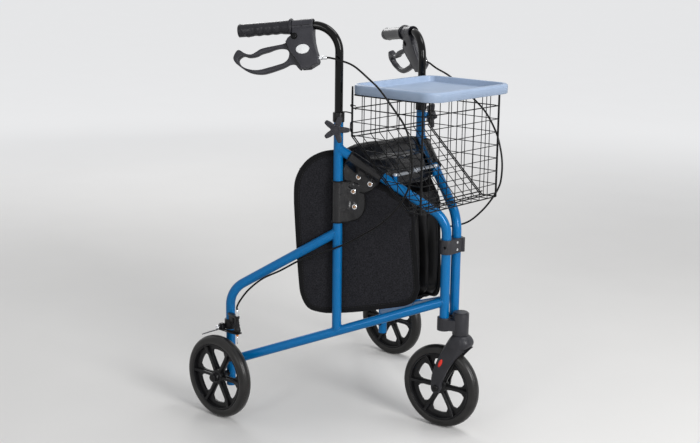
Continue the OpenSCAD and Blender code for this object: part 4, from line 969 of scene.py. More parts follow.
def make_basket():
    wires = []
    inset = EDGE_R
    half, front, back = BASKET_HALF - inset, BASKET_AHEAD - inset, -BASKET_BEHIND + inset
    low, high = BASKET_FLOOR_Z + inset, BASKET_TOP - inset
    inner_front, inner_back = front - 2 * WIRE_R, back + 2 * WIRE_R

    def wire(points, r=WIRE_R):
        wires.append(sweep(hinge_points(points), r, 8))

    def cross_wire(x, z, r=WIRE_R):
        wire([(x, -half, z), (x, half, z)], r)

    levels = spaced(low, high)[1:-1]
    for y in (-half, half):
        inner = y - math.copysign(2 * WIRE_R, y)
        for x in spaced(back, front)[1:-1]:
            wire([(x, inner, wall_bottom(x) + inset), (x, inner, high)])
        for z in levels:
            wire([(wall_back(z) + inset, y, z), (front, y, z)])
    for y in spaced(-half, half)[1:-1]:
        wire([(inner_front, y, low), (inner_front, y, high)])
        wire([(inner_back, y, SLOPE_TOP_Z), (inner_back, y, high)])
        wire([(-FLOOR_BEHIND, y, low), (inner_front, y, low)])
        wire([(-FLOOR_BEHIND, y, low), (inner_back, y, SLOPE_TOP_Z)])
    for z in levels:
        cross_wire(front, z)
        if z > SLOPE_TOP_Z + 0.01:
            cross_wire(back, z)
    for share in np.linspace(0, 1, 7)[1:-1]:
        x = -FLOOR_BEHIND - share * (BASKET_BEHIND - FLOOR_BEHIND)
        cross_wire(x, wall_bottom(x) + 2.5 * WIRE_R)

    # Edge wires: the rim, the posts, the floor's edge and the double wires of the slope
    for z, r in ((high, EDGE_R), (high - RIM_DROP, WIRE_R)):
        rim = np.array(round_rect(front - back, 2 * half, RIM_CORNER, z, 5)) + np.array([(front + back) / 2, 0, 0])
        wires.append(sweep(hinge_points(rim), r, 8, closed=True))
    for y in (-half, half):
        wire([(front, y, low), (front, y, high)], POST_R)
        wire([(back, y, SLOPE_TOP_Z), (back, y, high), (back, y, TRAY_BOTTOM + 0.017)], [POST_R, POST_R, POST_R * 0.8])
        for shift in (0.0, math.copysign(SLOPE_DOUBLE, y)):
            wire([(-FLOOR_BEHIND, y - shift, low), (back, y - shift, SLOPE_TOP_Z)], WIRE_R * 1.5)
        wire([(-FLOOR_BEHIND, y, low), (front, y, low)], EDGE_R)
    for z in (SLOPE_TOP_Z, SLOPE_TOP_Z + 0.008):
        cross_wire(back, z, WIRE_R * 1.5)
    for x, z in ((front, low), (-FLOOR_BEHIND, low), (-FLOOR_BEHIND, low + 0.008), (front, low + 0.009)):
        cross_wire(x, z, WIRE_R * 1.6)

    # Hooks that lie on the collars, their links and the curled ends above
    hook_z = MAIN_TOP + 0.004 + 0.0004 + EDGE_R * 0.8
    tip_x, tip_y = -MAIN_BACK * math.cos(SPLAY) + HANDLE_R + 0.003, HALF_GAP + MAIN_BACK * math.sin(SPLAY) - 0.003
    hook = [(back, half, hook_z - 0.022), (back, half, hook_z - 0.004),
            ((back + tip_x) / 2, (half + tip_y) / 2, hook_z), (tip_x, tip_y, hook_z),
            (tip_x - 0.004, tip_y + 0.006, hook_z), (tip_x - 0.003, tip_y + 0.014, hook_z)]
    link = [(back - 0.0032 + 0.0022 * math.cos(a), half, hook_z - 0.033 + 0.011 * math.sin(a))
            for a in np.linspace(0, 2 * math.pi, 20, endpoint=False)]
    curl = [(back + 0.012, half + 0.002, hook_z + 0.016), (back, half + 0.004, hook_z + 0.018),
            (back - 0.004, half, hook_z + 0.014), (back, half - 0.004, hook_z + 0.010),
            (back + 0.010, half - 0.001, hook_z + 0.008)]
    for sign in (-1, 1):
        flip = np.array([1, sign, 1])
        wire(smooth_path(hook * flip, 5), EDGE_R * 0.8)
        wires.append(sweep(hinge_points(link * flip), EDGE_R * 0.7, 8, closed=True, normal=(0, 1, 0)))
        wire(smooth_path(curl * flip, 5), WIRE_R * 1.2)
    piece("basket_wires", join(*wires), WIRE_COAT, "basket_body",
          ["basket_front", "basket_back", "basket_slope", "basket_floor", "basket_sides"], sharp=60)


# Bag panels: padded cloth with a bound and stitched edge
PANEL_OUT = -TUBE_R - 0.0004
PANEL_T = 0.004
# (along, height) in millimetres; None follows the sloped tube
PANEL_OUTLINE = [(361, 545), (354, 590), (330, 626), (297, 646), (262, 653), (243, 650), (200, None), (140, None),
                 (96, None), (82, 530), (74, 470), (62, 350), (63, 326), (71, 306), (87, 294), (112, 287), (200, 270),
                 (262, 262), (297, 262), (326, 271), (343, 300), (349, 340), (356, 440)]
# Start, end and depth of each crease
PANEL_CREASES = [((0.150, 0.446), (0.078, 0.500), 0.0036), ((0.165, 0.425), (0.095, 0.462), -0.0024),
                 ((0.205, 0.500), (0.150, 0.560), 0.0022), ((0.330, 0.520), (0.290, 0.420), 0.0016)]
BINDING_W = 0.0085
STITCH_INSET = 0.0072
STITCH_PITCH = 0.0062
STITCH_LEN = 0.0042
STITCH_R = 0.00045


def panel_outline():
    """Smooth outline of a side panel."""
    points = []
    for along, z in PANEL_OUTLINE:
        height = slope_z(along / 1000) - 0.020 if z is None else z / 1000
        points.append((along / 1000, height))
    return smooth_path(points, 4, True)


def tube_distance(along, z):
    """Distance in the side frame's plane from the nearest tube that crosses the panel."""
    found = abs(along - MAIN_BACK)
    if along > MAIN_BACK:
        found = min(found, abs(z - rear_z(along)) * 0.85)
    found = min(found, abs(z - rail_z(along)) * 0.93)
    return min(found, abs(z - slope_z(along)) * 0.85)


def panel_relief(along, z, edge_share):
    """How far the cloth stands out from its flat place: wrinkles that fade at the edge and beside the tubes."""
    waves = 0.0018 * noise.noise(Vector((along * 9, z * 9, 3.7)))
    pull = 0.0
    for (a, b), (c, d), depth in PANEL_CREASES:
        share = min(1.0, max(0.0, ((along - a) * (c - a) + (z - b) * (d - b)) / ((c - a) ** 2 + (d - b) ** 2)))
        away = math.hypot(along - a - share * (c - a), z - b - share * (d - b))
        pull += depth * math.exp(-(away / 0.007) ** 2)
    fade = min(1.0, max(0.0, (1 - edge_share) * 6))
    room = min(1.0, max(0.0, (tube_distance(along, z) - 0.012) / 0.03))
    lift = waves + pull + 0.003 * room * (1 - edge_share ** 2)
    return min(lift * fade, 0.0003 + 0.006 * room)


def make_panel(side):
    body = f"{side}_frame_body"
    outline = panel_outline()
    centre = outline.mean(0)
    rings_count = 22

    def surface(offset):
        rings = []
        for share in np.arange(1, rings_count + 1) / rings_count:
            flat = centre + (outline - centre) * share
            rings.append([(along, offset + panel_relief(along, z, share), z) for along, z in flat])
        return rings

    points, faces = loft(surface(PANEL_OUT) + surface(PANEL_OUT - PANEL_T)[::-1], cap_start=True, cap_end=True)
    panel = piece(f"{side}_panel_cloth", (side_points(side, points), faces), CLOTH, body,
                  [f"{side}_bag_panel"], sharp=60)

    # Binding tape over the edge, then its stitches
    ring = np.array([(a, PANEL_OUT - PANEL_T / 2, z) for a, z in outline])
    ahead = np.roll(ring, -1, 0) - np.roll(ring, 1, 0)
    ahead /= np.linalg.norm(ahead, axis=1)[:, None]
    inward = np.cross(ahead, (0, 1, 0))
    inward *= np.sign(((centre[0], 0, centre[1]) - ring * (1, 0, 1)) * inward).sum(1).mean()
    half_t = PANEL_T / 2 + 0.0005
    section = [(-0.0004, 0), (0.0006, half_t), (BINDING_W, half_t + 0.0001), (BINDING_W + 0.0007, half_t - 0.0008),
               (BINDING_W, 0), (BINDING_W + 0.0007, -half_t + 0.0008), (BINDING_W, -half_t - 0.0001),
               (0.0006, -half_t)]
    tape = [[at + way * a + np.array([0, b, 0]) for a, b in section] for at, way in zip(ring, inward)]
    points, faces = loft(tape, loop=True)
    piece(f"{side}_panel_binding", (side_points(side, points), faces), BINDING, body)
    points, faces = stitch_row(ring + inward * STITCH_INSET + np.array([0, half_t, 0]))
    piece(f"{side}_panel_stitches", (side_points(side, points), faces), THREAD, body)


def stitch_row(line):
    """Short rounded threads along a closed line."""
    path = np.concatenate([line, line[:1]])
    along = np.concatenate([[0], np.cumsum(np.linalg.norm(np.diff(path, axis=0), axis=1))])

    def at(s):
        return np.array([np.interp(s, along, path[:, k]) for k in range(3)])

    ends = [STITCH_R * 0.6, STITCH_R, STITCH_R * 0.6]
    return join(*[sweep([at(s), at(s + STITCH_LEN / 2), at(s + STITCH_LEN)], ends, 5)
                  for s in np.arange(STITCH_PITCH / 2, along[-1] - STITCH_LEN, STITCH_PITCH)])


# Straps of the bag, wrapped round the main tube and the sloped tube, with piped edges and press studs
WRAP_R = TUBE_R + 0.0004
STRAP_T = 0.002
STRAP_LOW = 0.487
STRAP_H = 0.096
STRAP_ROWS = 24
MAIN_REACH = (0.019, 0.063)
SLOPE_REACH = (0.022, 0.064)
SLOPE_STRAP_AHEAD = 0.102
SLOPE_STRAP_W = 0.074
PIPING_R = 0.0016
# Press studs: distance back from the main tube, and a height or a depth below the sloped tube
SNAPS = [(-0.035, STRAP_LOW + 0.072, None), (-0.038, STRAP_LOW + 0.036, None), (-0.047, None, 0.037),
         (-0.074, None, 0.036)]


def wrap_section(reach, steps=14, flat_steps=12):
    """Middle line of a strap across a tube: (distance ahead of the axis, distance outward), from the panel round the
    tube's outer side and out along the panel to reach."""
    r = WRAP_R + STRAP_T / 2
    starts, leaves = math.radians(205), math.radians(62)
    line = [(-r - 0.004, -r * 0.9)]
    for k in range(steps + 1):
        a = starts + (leaves - starts) * k / steps
        line.append((r * math.cos(a), r * math.sin(a)))
    start, rest = line[-1][0], PANEL_OUT + 0.003
    for a in np.linspace(start, reach, flat_steps + 1)[1:]:
        taut = max(0.0, 1 - (a - start) / 0.025)
        line.append((a, rest + (line[steps + 1][1] - rest) * taut ** 1.3))
    return np.array(line)


def strap_reach(t, short, far):
    """Reach of a strap at a share of its width, so that its free end is round."""
    return short + (far - short) * math.sqrt(max(0.0, 1 - abs(2 * t - 1) ** 2.7))


def strap_wrinkle(a, t, seed):
    """How far a strap stands out: soft creases that run from the tube to the press studs."""
    free = min(1.0, max(0.0, (a - 0.010) / 0.012))
    crease = 0.0016 * math.sin(10 * t + 130 * a + seed) + 0.0034 * noise.noise(Vector((a * 80, t * 5, seed)))
    return free * (0.0010 + crease) + 0.0007 * noise.noise(Vector((a * 60, t * 9, seed + 4)))


def cloth_sheet(grid, thickness, outward=None):
    """A sheet with thickness over a grid of points, and its upper face, which looks outward where that is given."""
    normal = np.cross(np.gradient(grid, axis=1), np.gradient(grid, axis=0))
    normal /= np.maximum(np.linalg.norm(normal, axis=2), 1e-9)[:, :, None]
    if outward is not None and (normal * outward).sum() < 0:
        normal = -normal
    upper, lower = grid + normal * thickness / 2, grid - normal * thickness / 2
    rings = [np.concatenate([above, below[::-1]]) for above, below in zip(upper, lower)]
    return loft(rings, cap_start=True, cap_end=True), upper


def make_strap(side, name, rows, replaces):
    """One vinyl strap with a piped edge."""
    outward = np.array([math.sin(SPLAY), SIDES[side] * math.cos(SPLAY), 0])
    body = f"{side}_frame_body"
    grid = np.array([side_points(side, row) for row in rows])
    shape, upper = cloth_sheet(grid, STRAP_T, outward)
    strap = piece(f"{side}_{name}", shape, VINYL, body, replaces, sharp=70)
    edge = np.concatenate([upper[0], upper[:, -1][1:-1], upper[-1][::-1]])
    piping = piece(f"{side}_{name}_piping", sweep(edge, PIPING_R, 8), BINDING, body, sharp=70)


def make_straps(side):
    body = f"{side}_frame_body"
    spread = [(1 - math.cos(math.pi * k / STRAP_ROWS)) / 2 for k in range(STRAP_ROWS + 1)]

    # Strap round the upright main tube: rows from bottom to top
    rows = []
    for t in spread:
        z = STRAP_LOW + STRAP_H * t
        line = wrap_section(strap_reach(t, *MAIN_REACH))
        rows.append([(MAIN_BACK - a, out + strap_wrinkle(a, t, 1.3), z) for a, out in line])
    make_strap(side, "main_strap", rows, [f"{side}_bag_straps"])

    # Strap round the sloped tube: rows along the tube, its free end hanging below it
    rise = math.atan2(UPPER_JOIN_Z - FRONT_CORNER_Z, MAIN_BACK)
    rows = []
    for t in spread:
        along = MAIN_BACK - SLOPE_STRAP_AHEAD + SLOPE_STRAP_W * t
        line = wrap_section(strap_reach(t, *SLOPE_REACH))
        row = []
        for a, out in line:
            lift = 0.0018 + strap_wrinkle(a, t, 5.9)
            row.append((along + a * math.sin(rise), out + lift, slope_z(along) - a * math.cos(rise)))
        rows.append(row)
    make_strap(side, "slope_strap", rows, [])

    # Press studs: a bright ring with a darker middle
    rings, middles = [], []
    for back, z, depth in SNAPS:
        along = MAIN_BACK + back
        height = slope_z(along) - depth if z is None else z
        base = PANEL_OUT + 0.0056 + (0.0018 if z is None else 0.0)

        def place(points, along=along, height=height, base=base):
            return side_points(side, crosswise(points, along, base, height))

        rings.append(lathe([(0.0034, 0.0006), (0.0055, 0), (0.0062, 0.0006), (0.0060, 0.0015), (0.0050, 0.0022),
                            (0.0041, 0.0021), (0.0036, 0.0014)], place, 28))
        middles.append(lathe([(0, 0.0004), (0.0037, 0.0004), (0.0037, 0.0012), (0.0022, 0.0010), (0.0012, 0.0017),
                              (0, 0.0019)], place, 24, closed=False))
    piece(f"{side}_snap_rings", join(*rings), STEEL, body, [f"{side}_frame_fittings"])
    piece(f"{side}_snap_middles", join(*middles), BRONZE, body)


# Soft walls of the bag between the panels; each half follows its own side frame
BAG_IN = PANEL_OUT - PANEL_T - 0.0004
FLAP_IN = -0.0205
FLAP_PROFILE = [(0.244, -0.008), (0.246, 0.002), (0.241, 0.012), (0.229, 0.017), (0.215, 0.013), (0.201, 0.009),
                (0.186, 0.014), (0.168, 0.021), (0.150, 0.020), (0.137, 0.010), (0.131, -0.004), (0.133, -0.018),
                (0.140, -0.025)]
BASE_Z = 0.296


def half_grid(side, edge, inside, count, at):
    """Points from a panel to the middle of the bag: edge holds rows that start with (along, height), and at gives the
    point at a share t along the edge and a share s inward, from the edge's point and its row."""
    grid = []
    for i, row in enumerate(edge):
        start = side_points(side, [(row[0], inside, row[1])])[0]
        grid.append([at(i / (len(edge) - 1), k / count, start, row) for k in range(count + 1)])
    return np.array(grid)


def soft_half(side, name, grid, thickness, material, node):
    """Half of a soft sheet between the panels."""
    shape, _ = cloth_sheet(grid, thickness)
    made = piece(f"{side}_{name}", shape, material, None, [node], sharp=60)
    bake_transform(made)


def make_gusset(side, name, material, node, edge, middle_ahead, pleat):
    """Half of a pleated wall: edge(t) is a point (along, height) of the panel for t from the bottom to the top."""
    rows, count = 40, 36
    sign = SIDES[side]

    def at(t, s, start, row):
        across = sign * (1 - s)
        fold = pleat * math.sin(s * math.pi * 3.5) * math.sin(math.pi * min(1, t * 1.1 + 0.06)) ** 0.5
        drift = 0.007 * noise.noise(Vector((across * 5, t * 3.4, row[0] * 7)))
        rise = 0.006 * noise.noise(Vector((across * 3, t * 3, 5.1)))
        return start[0] + middle_ahead * s * s + fold + drift * s, start[1] * (1 - s), start[2] + rise * s

    grid = half_grid(side, [edge(i / rows) for i in range(rows + 1)], BAG_IN, count, at)
    soft_half(side, name, grid, 0.0016, material, node)


def make_base(side):
    """Half of the bag's floor: a sagging sheet between the panels."""
    rows, count = 26, 14
    sign = SIDES[side]

    def at(t, s, start, row):
        sag = 0.010 * s * (2 - s) * math.sin(math.pi * t) ** 0.6
        ripple = 0.004 * noise.noise(Vector((t * 6, sign * (1 - s) * 4, 2.2)))
        return start[0], start[1] * (1 - s), start[2] - sag + ripple * s

    edge = [(0.096 + 0.222 * (i / rows), BASE_Z) for i in range(rows + 1)]
    soft_half(side, "bag_base", half_grid(side, edge, BAG_IN, count, at), 0.0018, CLOTH, "bag_floor")


def make_flap(side):
    """Half of the lid, tucked between the sloped tubes: a roll at the back, a valley, and a roll in front."""
    sign = SIDES[side]

    def at(t, s, start, row):
        rise = 1 - (1 - min(1, s * 3.6)) ** 2.4
        across = sign * (1 - s)
        slack = 0.0060 * noise.noise(Vector((t * 2.2, across * 1.7, 8.3)))
        wrinkle = 0.0010 * noise.noise(Vector((t * 3.0, across * 4.5, 1.7)))
        lift = row[2] + slack + wrinkle
        return start[0] + 0.5 * slack * rise, start[1] * (1 - s), start[2] + lift * rise

    edge = [(along, slope_z(along) - 0.002, lift) for along, lift in smooth_path(FLAP_PROFILE, 5)]
    grid = half_grid(side, edge, FLAP_IN, 30, at)
    shape, _ = cloth_sheet(grid, 0.0022)
    flap = piece(f"{side}_bag_flap", shape, VINYL, "front_hinge", ["bag_lid"], sharp=60)
    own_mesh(flap)


def front_edge(t):
    """Front edge of a panel, tucked in at the bottom."""
    return 0.074 + 0.014 * t + 0.026 * max(0.0, 1 - t / 0.12) ** 2, 0.300 + 0.250 * t


def back_edge(t):
    """Back edge of a panel, tucked in at the bottom."""
    return 0.338 + 0.010 * t - 0.022 * max(0.0, 1 - t / 0.10) ** 2, 0.284 + 0.322 * t


def make_soft_walls(side):
    make_gusset(side, "front_gusset", WALL_VINYL, "bag_front", front_edge, -0.030, 0.0085)
    make_gusset(side, "back_gusset", CLOTH, "bag_back", back_edge, 0.060, 0.010)
    make_base(side)
    make_flap(side)


# Weld beads where a tube's end meets the side of another
def weld_bead(branch_at, branch_way, main_at, main_way, radius=0.0015):
    """A closed bead along the line where two tubes of the same size meet."""
    branch_way = np.asarray(branch_way, float) / np.linalg.norm(branch_way)
    main_way = np.asarray(main_way, float) / np.linalg.norm(main_way)
    u = np.cross(branch_way, main_way)
    u /= np.linalg.norm(u)
    v = np.cross(branch_way, u)
    branch_r = TUBE_R * 0.985
    line = []
    for a in np.linspace(0, 2 * math.pi, 56, endpoint=False):
        start = np.asarray(branch_at) + branch_r * (math.cos(a) * u + math.sin(a) * v)
        gap = start - main_at
        flat_way = branch_way - main_way * (branch_way @ main_way)
        flat_gap = gap - main_way * (gap @ main_way)
        qa, qb, qc = flat_way @ flat_way, 2 * flat_gap @ flat_way, flat_gap @ flat_gap - TUBE_R ** 2
        t = (-qb + math.sqrt(max(0.0, qb * qb - 4 * qa * qc))) / (2 * qa)
        line.append(start + branch_way * t)
    return sweep(line, radius, 8, closed=True)


def make_welds(side):
    upright = (0, 0, 1)
    back = (MAIN_BACK, 0, UPPER_JOIN_Z - FRONT_CORNER_Z)
    fall = (LEG_BACK - MAIN_BACK, 0, REAR_CORNER_Z - REAR_JOIN_Z)
    rail = (LEG_BACK, 0, RAIL_LEG_Z - RAIL_FRONT_Z)
    main_foot = (MAIN_BACK, 0, rail_z(MAIN_BACK))
    beads = [
        weld_bead((MAIN_BACK, 0, UPPER_JOIN_Z), [-x for x in back], (MAIN_BACK, 0, 0.5), upright),
        weld_bead((MAIN_BACK, 0, REAR_JOIN_Z), fall, (MAIN_BACK, 0, 0.5), upright),
        weld_bead((0, 0, RAIL_FRONT_Z), rail, (0, 0, 0.3), upright),
        weld_bead((LEG_BACK, 0, RAIL_LEG_Z), [-x for x in rail], (LEG_BACK, 0, 0.1), upright),
        weld_bead(main_foot, upright, main_foot, rail),
    ]
    points, faces = join(*beads)
    piece(f"{side}_welds", (side_points(side, points), faces), BLUE, f"{side}_frame_body", sharp=80)


# Rear brake: a moulded bracket on the leg, a boot round the wire, a sleeve, a cap and a steel blade
BRAKE_PIVOT = (-0.012, 0.217)
EAR_OUT = 0.0176
RING_R = 0.0146
RING_LOW = 0.2120
RING_TOP = 0.2355
STOP_TOP = 0.253
STOP_T = 0.0070
WEB_Z = 0.238
WIRE_END = 0.184
BRAKE_HUB_IN = 0.0180
BRAKE_HUB_OUT = 0.0310
BLADE_IN = 0.0232
BLADE_OUT = 0.0400
BRAKE_EAR = [(-0.0075, -0.009), (0.0075, -0.009), (0.0075, 0.004), (0.0035, 0.008), (-0.0035, 0.008),
             (-0.0075, 0.004)]
BOOT = [(0.0010, 0.2462), (0.0040, 0.2460), (0.0046, 0.2420), (0.0040, 0.2400), (0.0054, 0.2370), (0.0048, 0.2340),
        (0.0064, 0.2300), (0.0058, 0.2270), (0.0074, 0.2225), (0.0084, 0.2165), (0.0080, 0.2152), (0.0010, 0.2150)]
WIRE_CAP = [(0.0009, 0.2085), (0.0030, 0.2080), (0.0032, 0.2045), (0.0024, 0.2030), (0.0009, 0.2030)]
SLEEVE = [(0.0009, -0.015), (0.0035, -0.015), (0.0035, -0.0115), (0.0030, -0.011), (0.0030, -0.001), (0.0025, 0),
          (0.0009, 0)]
FINGER = [(0.002, 0.0171), (0.002, 0.0294), (0.060, 0.0294), (0.064, 0.0254), (0.064, 0.0132), (0.060, 0.0092),
          (0.034, 0.0092), (0.0301, 0.0171)]
BLADE = [(-0.001, -0.004), (-0.020, -0.0120), (-0.0474, -0.0246), (-0.0463, -0.0270), (-0.019, -0.0150),
         (0.000, -0.0070)]
BRAKE_SCREW = [(0, -0.002), (0.0052, -0.002), (0.0052, 0.001), (0.0042, 0.0036), (0.0018, 0.0038), (0.0014, 0.0026),
               (0, 0.0026)]


def stadium(start, end, width, steps=10):
    """Outline of a strip with round ends between two points."""
    start, end = np.array(start, float), np.array(end, float)
    heading = math.atan2(*(end - start)[::-1])
    line = []
    for centre, turn in ((end, heading - math.pi / 2), (start, heading + math.pi / 2)):
        for k in range(steps + 1):
            a = turn + math.pi * k / steps
            line.append(centre + width / 2 * np.array([math.cos(a), math.sin(a)]))
    return np.array(line)


def make_rear_brake(side):
    frame_body, brake_body = f"{side}_frame_body", f"{side}_brake_body"

    def at_leg(x, y, z):
        return lambda points: leg_points(side, points + np.array([x, y, z]))

    def at_pivot(out=0.0):
        return lambda points: leg_points(side, crosswise(points, BRAKE_PIVOT[0], out, BRAKE_PIVOT[1]))

    wire_at = np.array([WIRE_AHEAD, WIRE_OUT])
    bore = TUBE_R + 0.00002
    ring = lathe([(bore, RING_LOW), (RING_R - 0.001, RING_LOW), (RING_R, RING_LOW + 0.001), (RING_R, RING_TOP - 0.001),
                  (RING_R - 0.001, RING_TOP), (bore, RING_TOP)], at_leg(0, 0, 0), 40)
    stop = plate([stadium((0.004, 0.006), wire_at, 0.0116)], STOP_T, 0.0022, at_leg(0, 0, STOP_TOP - STOP_T / 2))
    web = plate([stadium((0.007, 0.008), wire_at - (0.018, 0.004), 0.0074)], 0.018, 0.002, at_leg(0, 0, WEB_Z))
    ear = plate([BRAKE_EAR], 0.0108, 0.0018, at_pivot(EAR_OUT))
    piece(f"{side}_brake_mount", join(ring, stop, web, ear), BLACK_PLASTIC, frame_body,
          [f"{side}_brake_bracket"])

    # What is threaded on the wire
    at_wire = at_leg(WIRE_AHEAD, WIRE_OUT, 0)
    boot = piece(f"{side}_wire_boot", lathe(BOOT, at_wire, 28), BLACK_PLASTIC, frame_body, sharp=70)
    boot_top = at_wire(np.array([[0, 0, BOOT[0][1]]]))[0]
    tuple(boot_top)
    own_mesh(boot)
    piece(f"{side}_wire_cap", lathe(WIRE_CAP, at_wire, 20), ORANGE_CAP, frame_body)
    sleeve = lathe([(r, SLEEVE_TOP + h) for r, h in SLEEVE], at_wire, 24)
    wire_top = SLEEVE_TOP - 0.001
    wire = lathe([(0, WIRE_END), (0.0013, WIRE_END), (0.0013, 0.2025), (0.0009, 0.2030), (0.0009, wire_top),
                  (0, wire_top)], at_wire, 12, closed=False)
    piece(f"{side}_wire_sleeve", join(sleeve, wire), STEEL, frame_body)

    # Brake arm: a hub on the pivot, a finger plate under the boot, and the blade over the tyre
    hub = lathe([(0, BRAKE_HUB_IN), (0.0030, BRAKE_HUB_IN), (0.0030, BLADE_IN), (0.0055, BLADE_IN + 0.0004),
                 (0.0055, BRAKE_HUB_OUT), (0, BRAKE_HUB_OUT)], at_pivot(), 24, closed=False)
    finger = plate([FINGER], 0.0025, 0.0006, at_leg(BRAKE_PIVOT[0], 0, BRAKE_PIVOT[1] - 0.0050))
    piece(f"{side}_brake_lever", join(hub, finger), BLACK_PLASTIC, brake_body, [f"{side}_brake_arm"])
    blade = plate([BLADE], BLADE_OUT - BLADE_IN, 0.0006, at_pivot((BLADE_IN + BLADE_OUT) / 2))
    piece(f"{side}_brake_blade", blade, DARK_STEEL, brake_body)
    screw = lathe([(r, BRAKE_HUB_OUT + h) for r, h in BRAKE_SCREW], at_pivot(), 24, closed=False)
    piece(f"{side}_brake_screw", screw, STEEL, brake_body)


# Caster fork: a smooth hood over the tyre that runs into two arms
CROWN_Z = 0.2356
ARM_IN = 0.019
ARM_OUT = 0.026
HOOD_BOTTOM = 0.2035
HOOD_WALL = 0.0035
BOSS_R = 0.019
ARM_END = 0.0862
# Radii of the section's back and front corners at the given heights
FORK_BACK_R = (0.13, 0.16, 0.20, 0.22, CROWN_Z), (0.0035, 0.0045, 0.0100, 0.0140, 0.0175)
FORK_FRONT_R = (0.13, 0.16, 0.19, 0.205, CROWN_Z), (0.0035, 0.0045, 0.010, 0.0235, 0.0175)
LENS_AT = (-0.0365, 0, CROWN_Z - 0.0715)
LENS_LONG = np.array([8, 0, 18]) / math.hypot(8, 18)
LENS_SHORT = np.array([18, 0, -8]) / math.hypot(8, 18)
LENS_RATIO = 2.6
LENS_DOME = [(0, 0), (0.0042, 0), (0.0042, 0.0008), (0.0037, 0.0014), (0.0024, 0.0018), (0, 0.002)]
FORK_FRONT = [(18, 235.6), (25, 230.5), (29.5, 223), (30.5, 216), (28, 209), (22, 202), (14, 194), (-1, 176),
              (-20, 146), (-33, 114), (-35, 100), (-42, 88.5), (-52, 86)]
FORK_BACK = [(-16, 235.6), (-25, 217.6), (-45, 174.6), (-59, 136), (-62, 106), (-60, 92), (-52, 86)]


def edge_at(edge, z):
    """Place of a fork's edge at a height."""
    curve = smooth_path(metres(edge), 6)
    return float(np.interp(z, curve[::-1, 1], curve[::-1, 0]))


def fork_section(z, inset=0.0, inner=None):
    """A level section through the fork: the whole hood, or one arm where inner is given."""
    back, front = edge_at(FORK_BACK, z) + inset, edge_at(FORK_FRONT, z) - inset
    length = front - back
    back_r, front_r = [min(np.interp(z, *radii), length / 2) for radii in (FORK_BACK_R, FORK_FRONT_R)]
    rise = max(0.0, (z - 0.210) / (CROWN_Z - 0.210))
    half = ARM_OUT - (ARM_OUT - BOSS_R) * rise ** 2.2 - inset
    steps = 32
    outer = []
    for k in range(steps + 1):
        x = back + length * (1 - math.cos(math.pi * k / steps)) / 2
        cut = 0.0
        for near, r in ((x - back, back_r), (front - x, front_r)):
            if near < r:
                cut = max(cut, r - math.sqrt(max(0.0, r * r - (r - near) ** 2)))
        outer.append((x, max(half - cut, (inner or 0) + 0.0004), z))
    if inner is None:
        return outer + [(x, -y, z) for x, y, z in reversed(outer)]
    return outer + [(x, inner, z) for x, y, z in reversed(outer)]


def over_arch(section, share):
    """A section of the hood, lifted in front to leave an arch over the tyre."""
    lifted = []
    for x, y, z in section:
        ahead = min(1.0, max(0.0, (x - 0.006) / 0.016))
        lip_and_gap_shadow = HOOD_BOTTOM + 0.0075 * ahead * max(0.0, 1 - (y / ARM_IN) ** 2)
        lifted.append((x, y, max(z, lip_and_gap_shadow + 0.004 * share)))
    return lifted


def make_fork():
    """The hood as a shell: sections down its outside, round its lower edge and up its inside, then the arms."""
    outside = [(CROWN_Z, 0.0030), (0.2353, 0.0014), (0.2344, 0.0004)]
    outside += [(z, 0.0) for z in np.linspace(0.2330, HOOD_BOTTOM + 0.0008, 14)]
    edge = [(HOOD_BOTTOM, 0.0008), (HOOD_BOTTOM, HOOD_WALL - 0.0008), (HOOD_BOTTOM + 0.0008, HOOD_WALL)]
    inside = [(z, HOOD_WALL) for z in np.linspace(0.2080, 0.2250, 6)]
    last_outside, last_edge = len(outside) - 1, len(outside) + len(edge) - 1
    sections = []
    for k, (z, inset) in enumerate(outside + edge + inside):
        share = 1 - k / last_outside if k <= last_outside else (k - last_edge) / len(inside)
        sections.append(over_arch(fork_section(z, inset), share))
    parts = [loft(sections, cap_start=True, cap_end=True)]
    heights = np.concatenate([np.linspace(ARM_END, 0.1, 8), np.linspace(0.105, HOOD_BOTTOM + 0.0015, 24)])
    for sign in (-1, 1):
        arm = [np.array(fork_section(z, 0, ARM_IN)) * (1, sign, 1) for z in heights]
        parts.append(loft(arm, cap_start=True, cap_end=True))
    stem = [(0, CROWN_Z - 0.010), (0.006, CROWN_Z - 0.010), (0.006, CROWN_Z + 0.040), (0, CROWN_Z + 0.040)]
    parts.append(lathe(stem, lambda points: points, 24, closed=False))
    points, faces = join(*parts)
    piece("caster_hood", (caster_points(points), faces), HINGE_PLASTIC, "caster_body",
          ["caster_fork"], sharp=45)


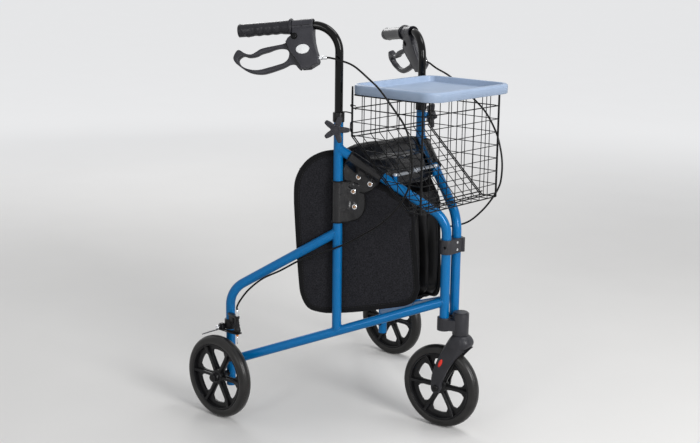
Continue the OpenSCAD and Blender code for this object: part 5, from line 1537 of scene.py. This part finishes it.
def make_fork_fittings():
    """Oval lenses on the arms, and the axle's dark screws."""
    screw = [(0, 0), (0.005, 0), (0.005, ARM_OUT), (0.0085, ARM_OUT), (0.0085, ARM_OUT + 0.0016),
             (0.0072, ARM_OUT + 0.0036), (0.0046, ARM_OUT + 0.0038), (0.0038, ARM_OUT + 0.0020), (0, ARM_OUT + 0.0020)]
    lenses, screws = [], []
    for sign in (-1, 1):
        out = np.array([0, sign, 0])

        def on_arm(points, out=out):
            ways = np.array([LENS_SHORT, LENS_RATIO * LENS_LONG, out])
            return caster_points(np.array(LENS_AT) + out * (ARM_OUT - 0.0002) + points @ ways)

        def on_axle(points, sign=sign):
            return caster_points(crosswise(points * (1, 1, sign), -TRAIL, 0, WHEEL_R))

        lenses.append(lathe(LENS_DOME, on_arm, 36, closed=False))
        screws.append(lathe(screw, on_axle, 32, closed=False))
    piece("reflector_lenses", join(*lenses), RED_LENS, "caster_body", ["reflectors"])
    piece("caster_screws", join(*screws), BLACK_PLASTIC, "caster_body", ["caster_axle"])


# Dark screw in the hole of the frame clamp, and the hub caps of the rear wheels
CLAMP_SCREW_AHEAD = 0.006
CLAMP_SCREW_Z = 0.4425
CLAMP_SCREW = [(0, 0.0110), (0.0034, 0.0110), (0.0034, 0.0116), (0.0027, 0.0120), (0.0015, 0.0120), (0.0012, 0.0114),
               (0, 0.0114)]
CAP_OUT = WHEEL_OUT + HUB_LEN / 2 + 0.0030
HUB_CAP = [(0, 0.0002), (0.0098, 0.0002), (0.0098, 0.0022), (0.0086, 0.0036), (0.0064, 0.0040), (0.0056, 0.0030),
           (0.0040, 0.0030), (0.0032, 0.0040), (0, 0.0042)]


def make_clamp_screw():
    def place(points):
        return hinge_points(crosswise(points * (1, 1, -1), CLAMP_SCREW_AHEAD, -HALF_GAP, CLAMP_SCREW_Z))

    screw = lathe(CLAMP_SCREW, place, 24, closed=False)
    piece("clamp_screw", screw, BLACK_PLASTIC, "front_hinge")


def make_hub_cap(side):
    def place(points):
        return leg_points(side, crosswise(points, 0, CAP_OUT, WHEEL_R))

    cap = lathe(HUB_CAP, place, 36, closed=False)
    piece(f"{side}_hub_cap", cap, BLACK_PLASTIC, f"{side}_frame_body")


make_camera()
make_stage()
for make in (make_cable, make_grip, make_housing, make_lever, make_knob, make_rear_wheel):
    both_sides(make)
make_caster_wheel()
make_tray()
make_basket()
for make in (make_panel, make_straps, make_soft_walls, make_welds, make_rear_brake):
    both_sides(make)
make_fork()
make_fork_fittings()
make_clamp_screw()
both_sides(make_hub_cap)
soften(0.0015, "lower_bracket", "upper_clamp")
soften(0.0010, "right_collar", "left_collar")
soften(0.0004, "right_brace_link", "left_brace_link")
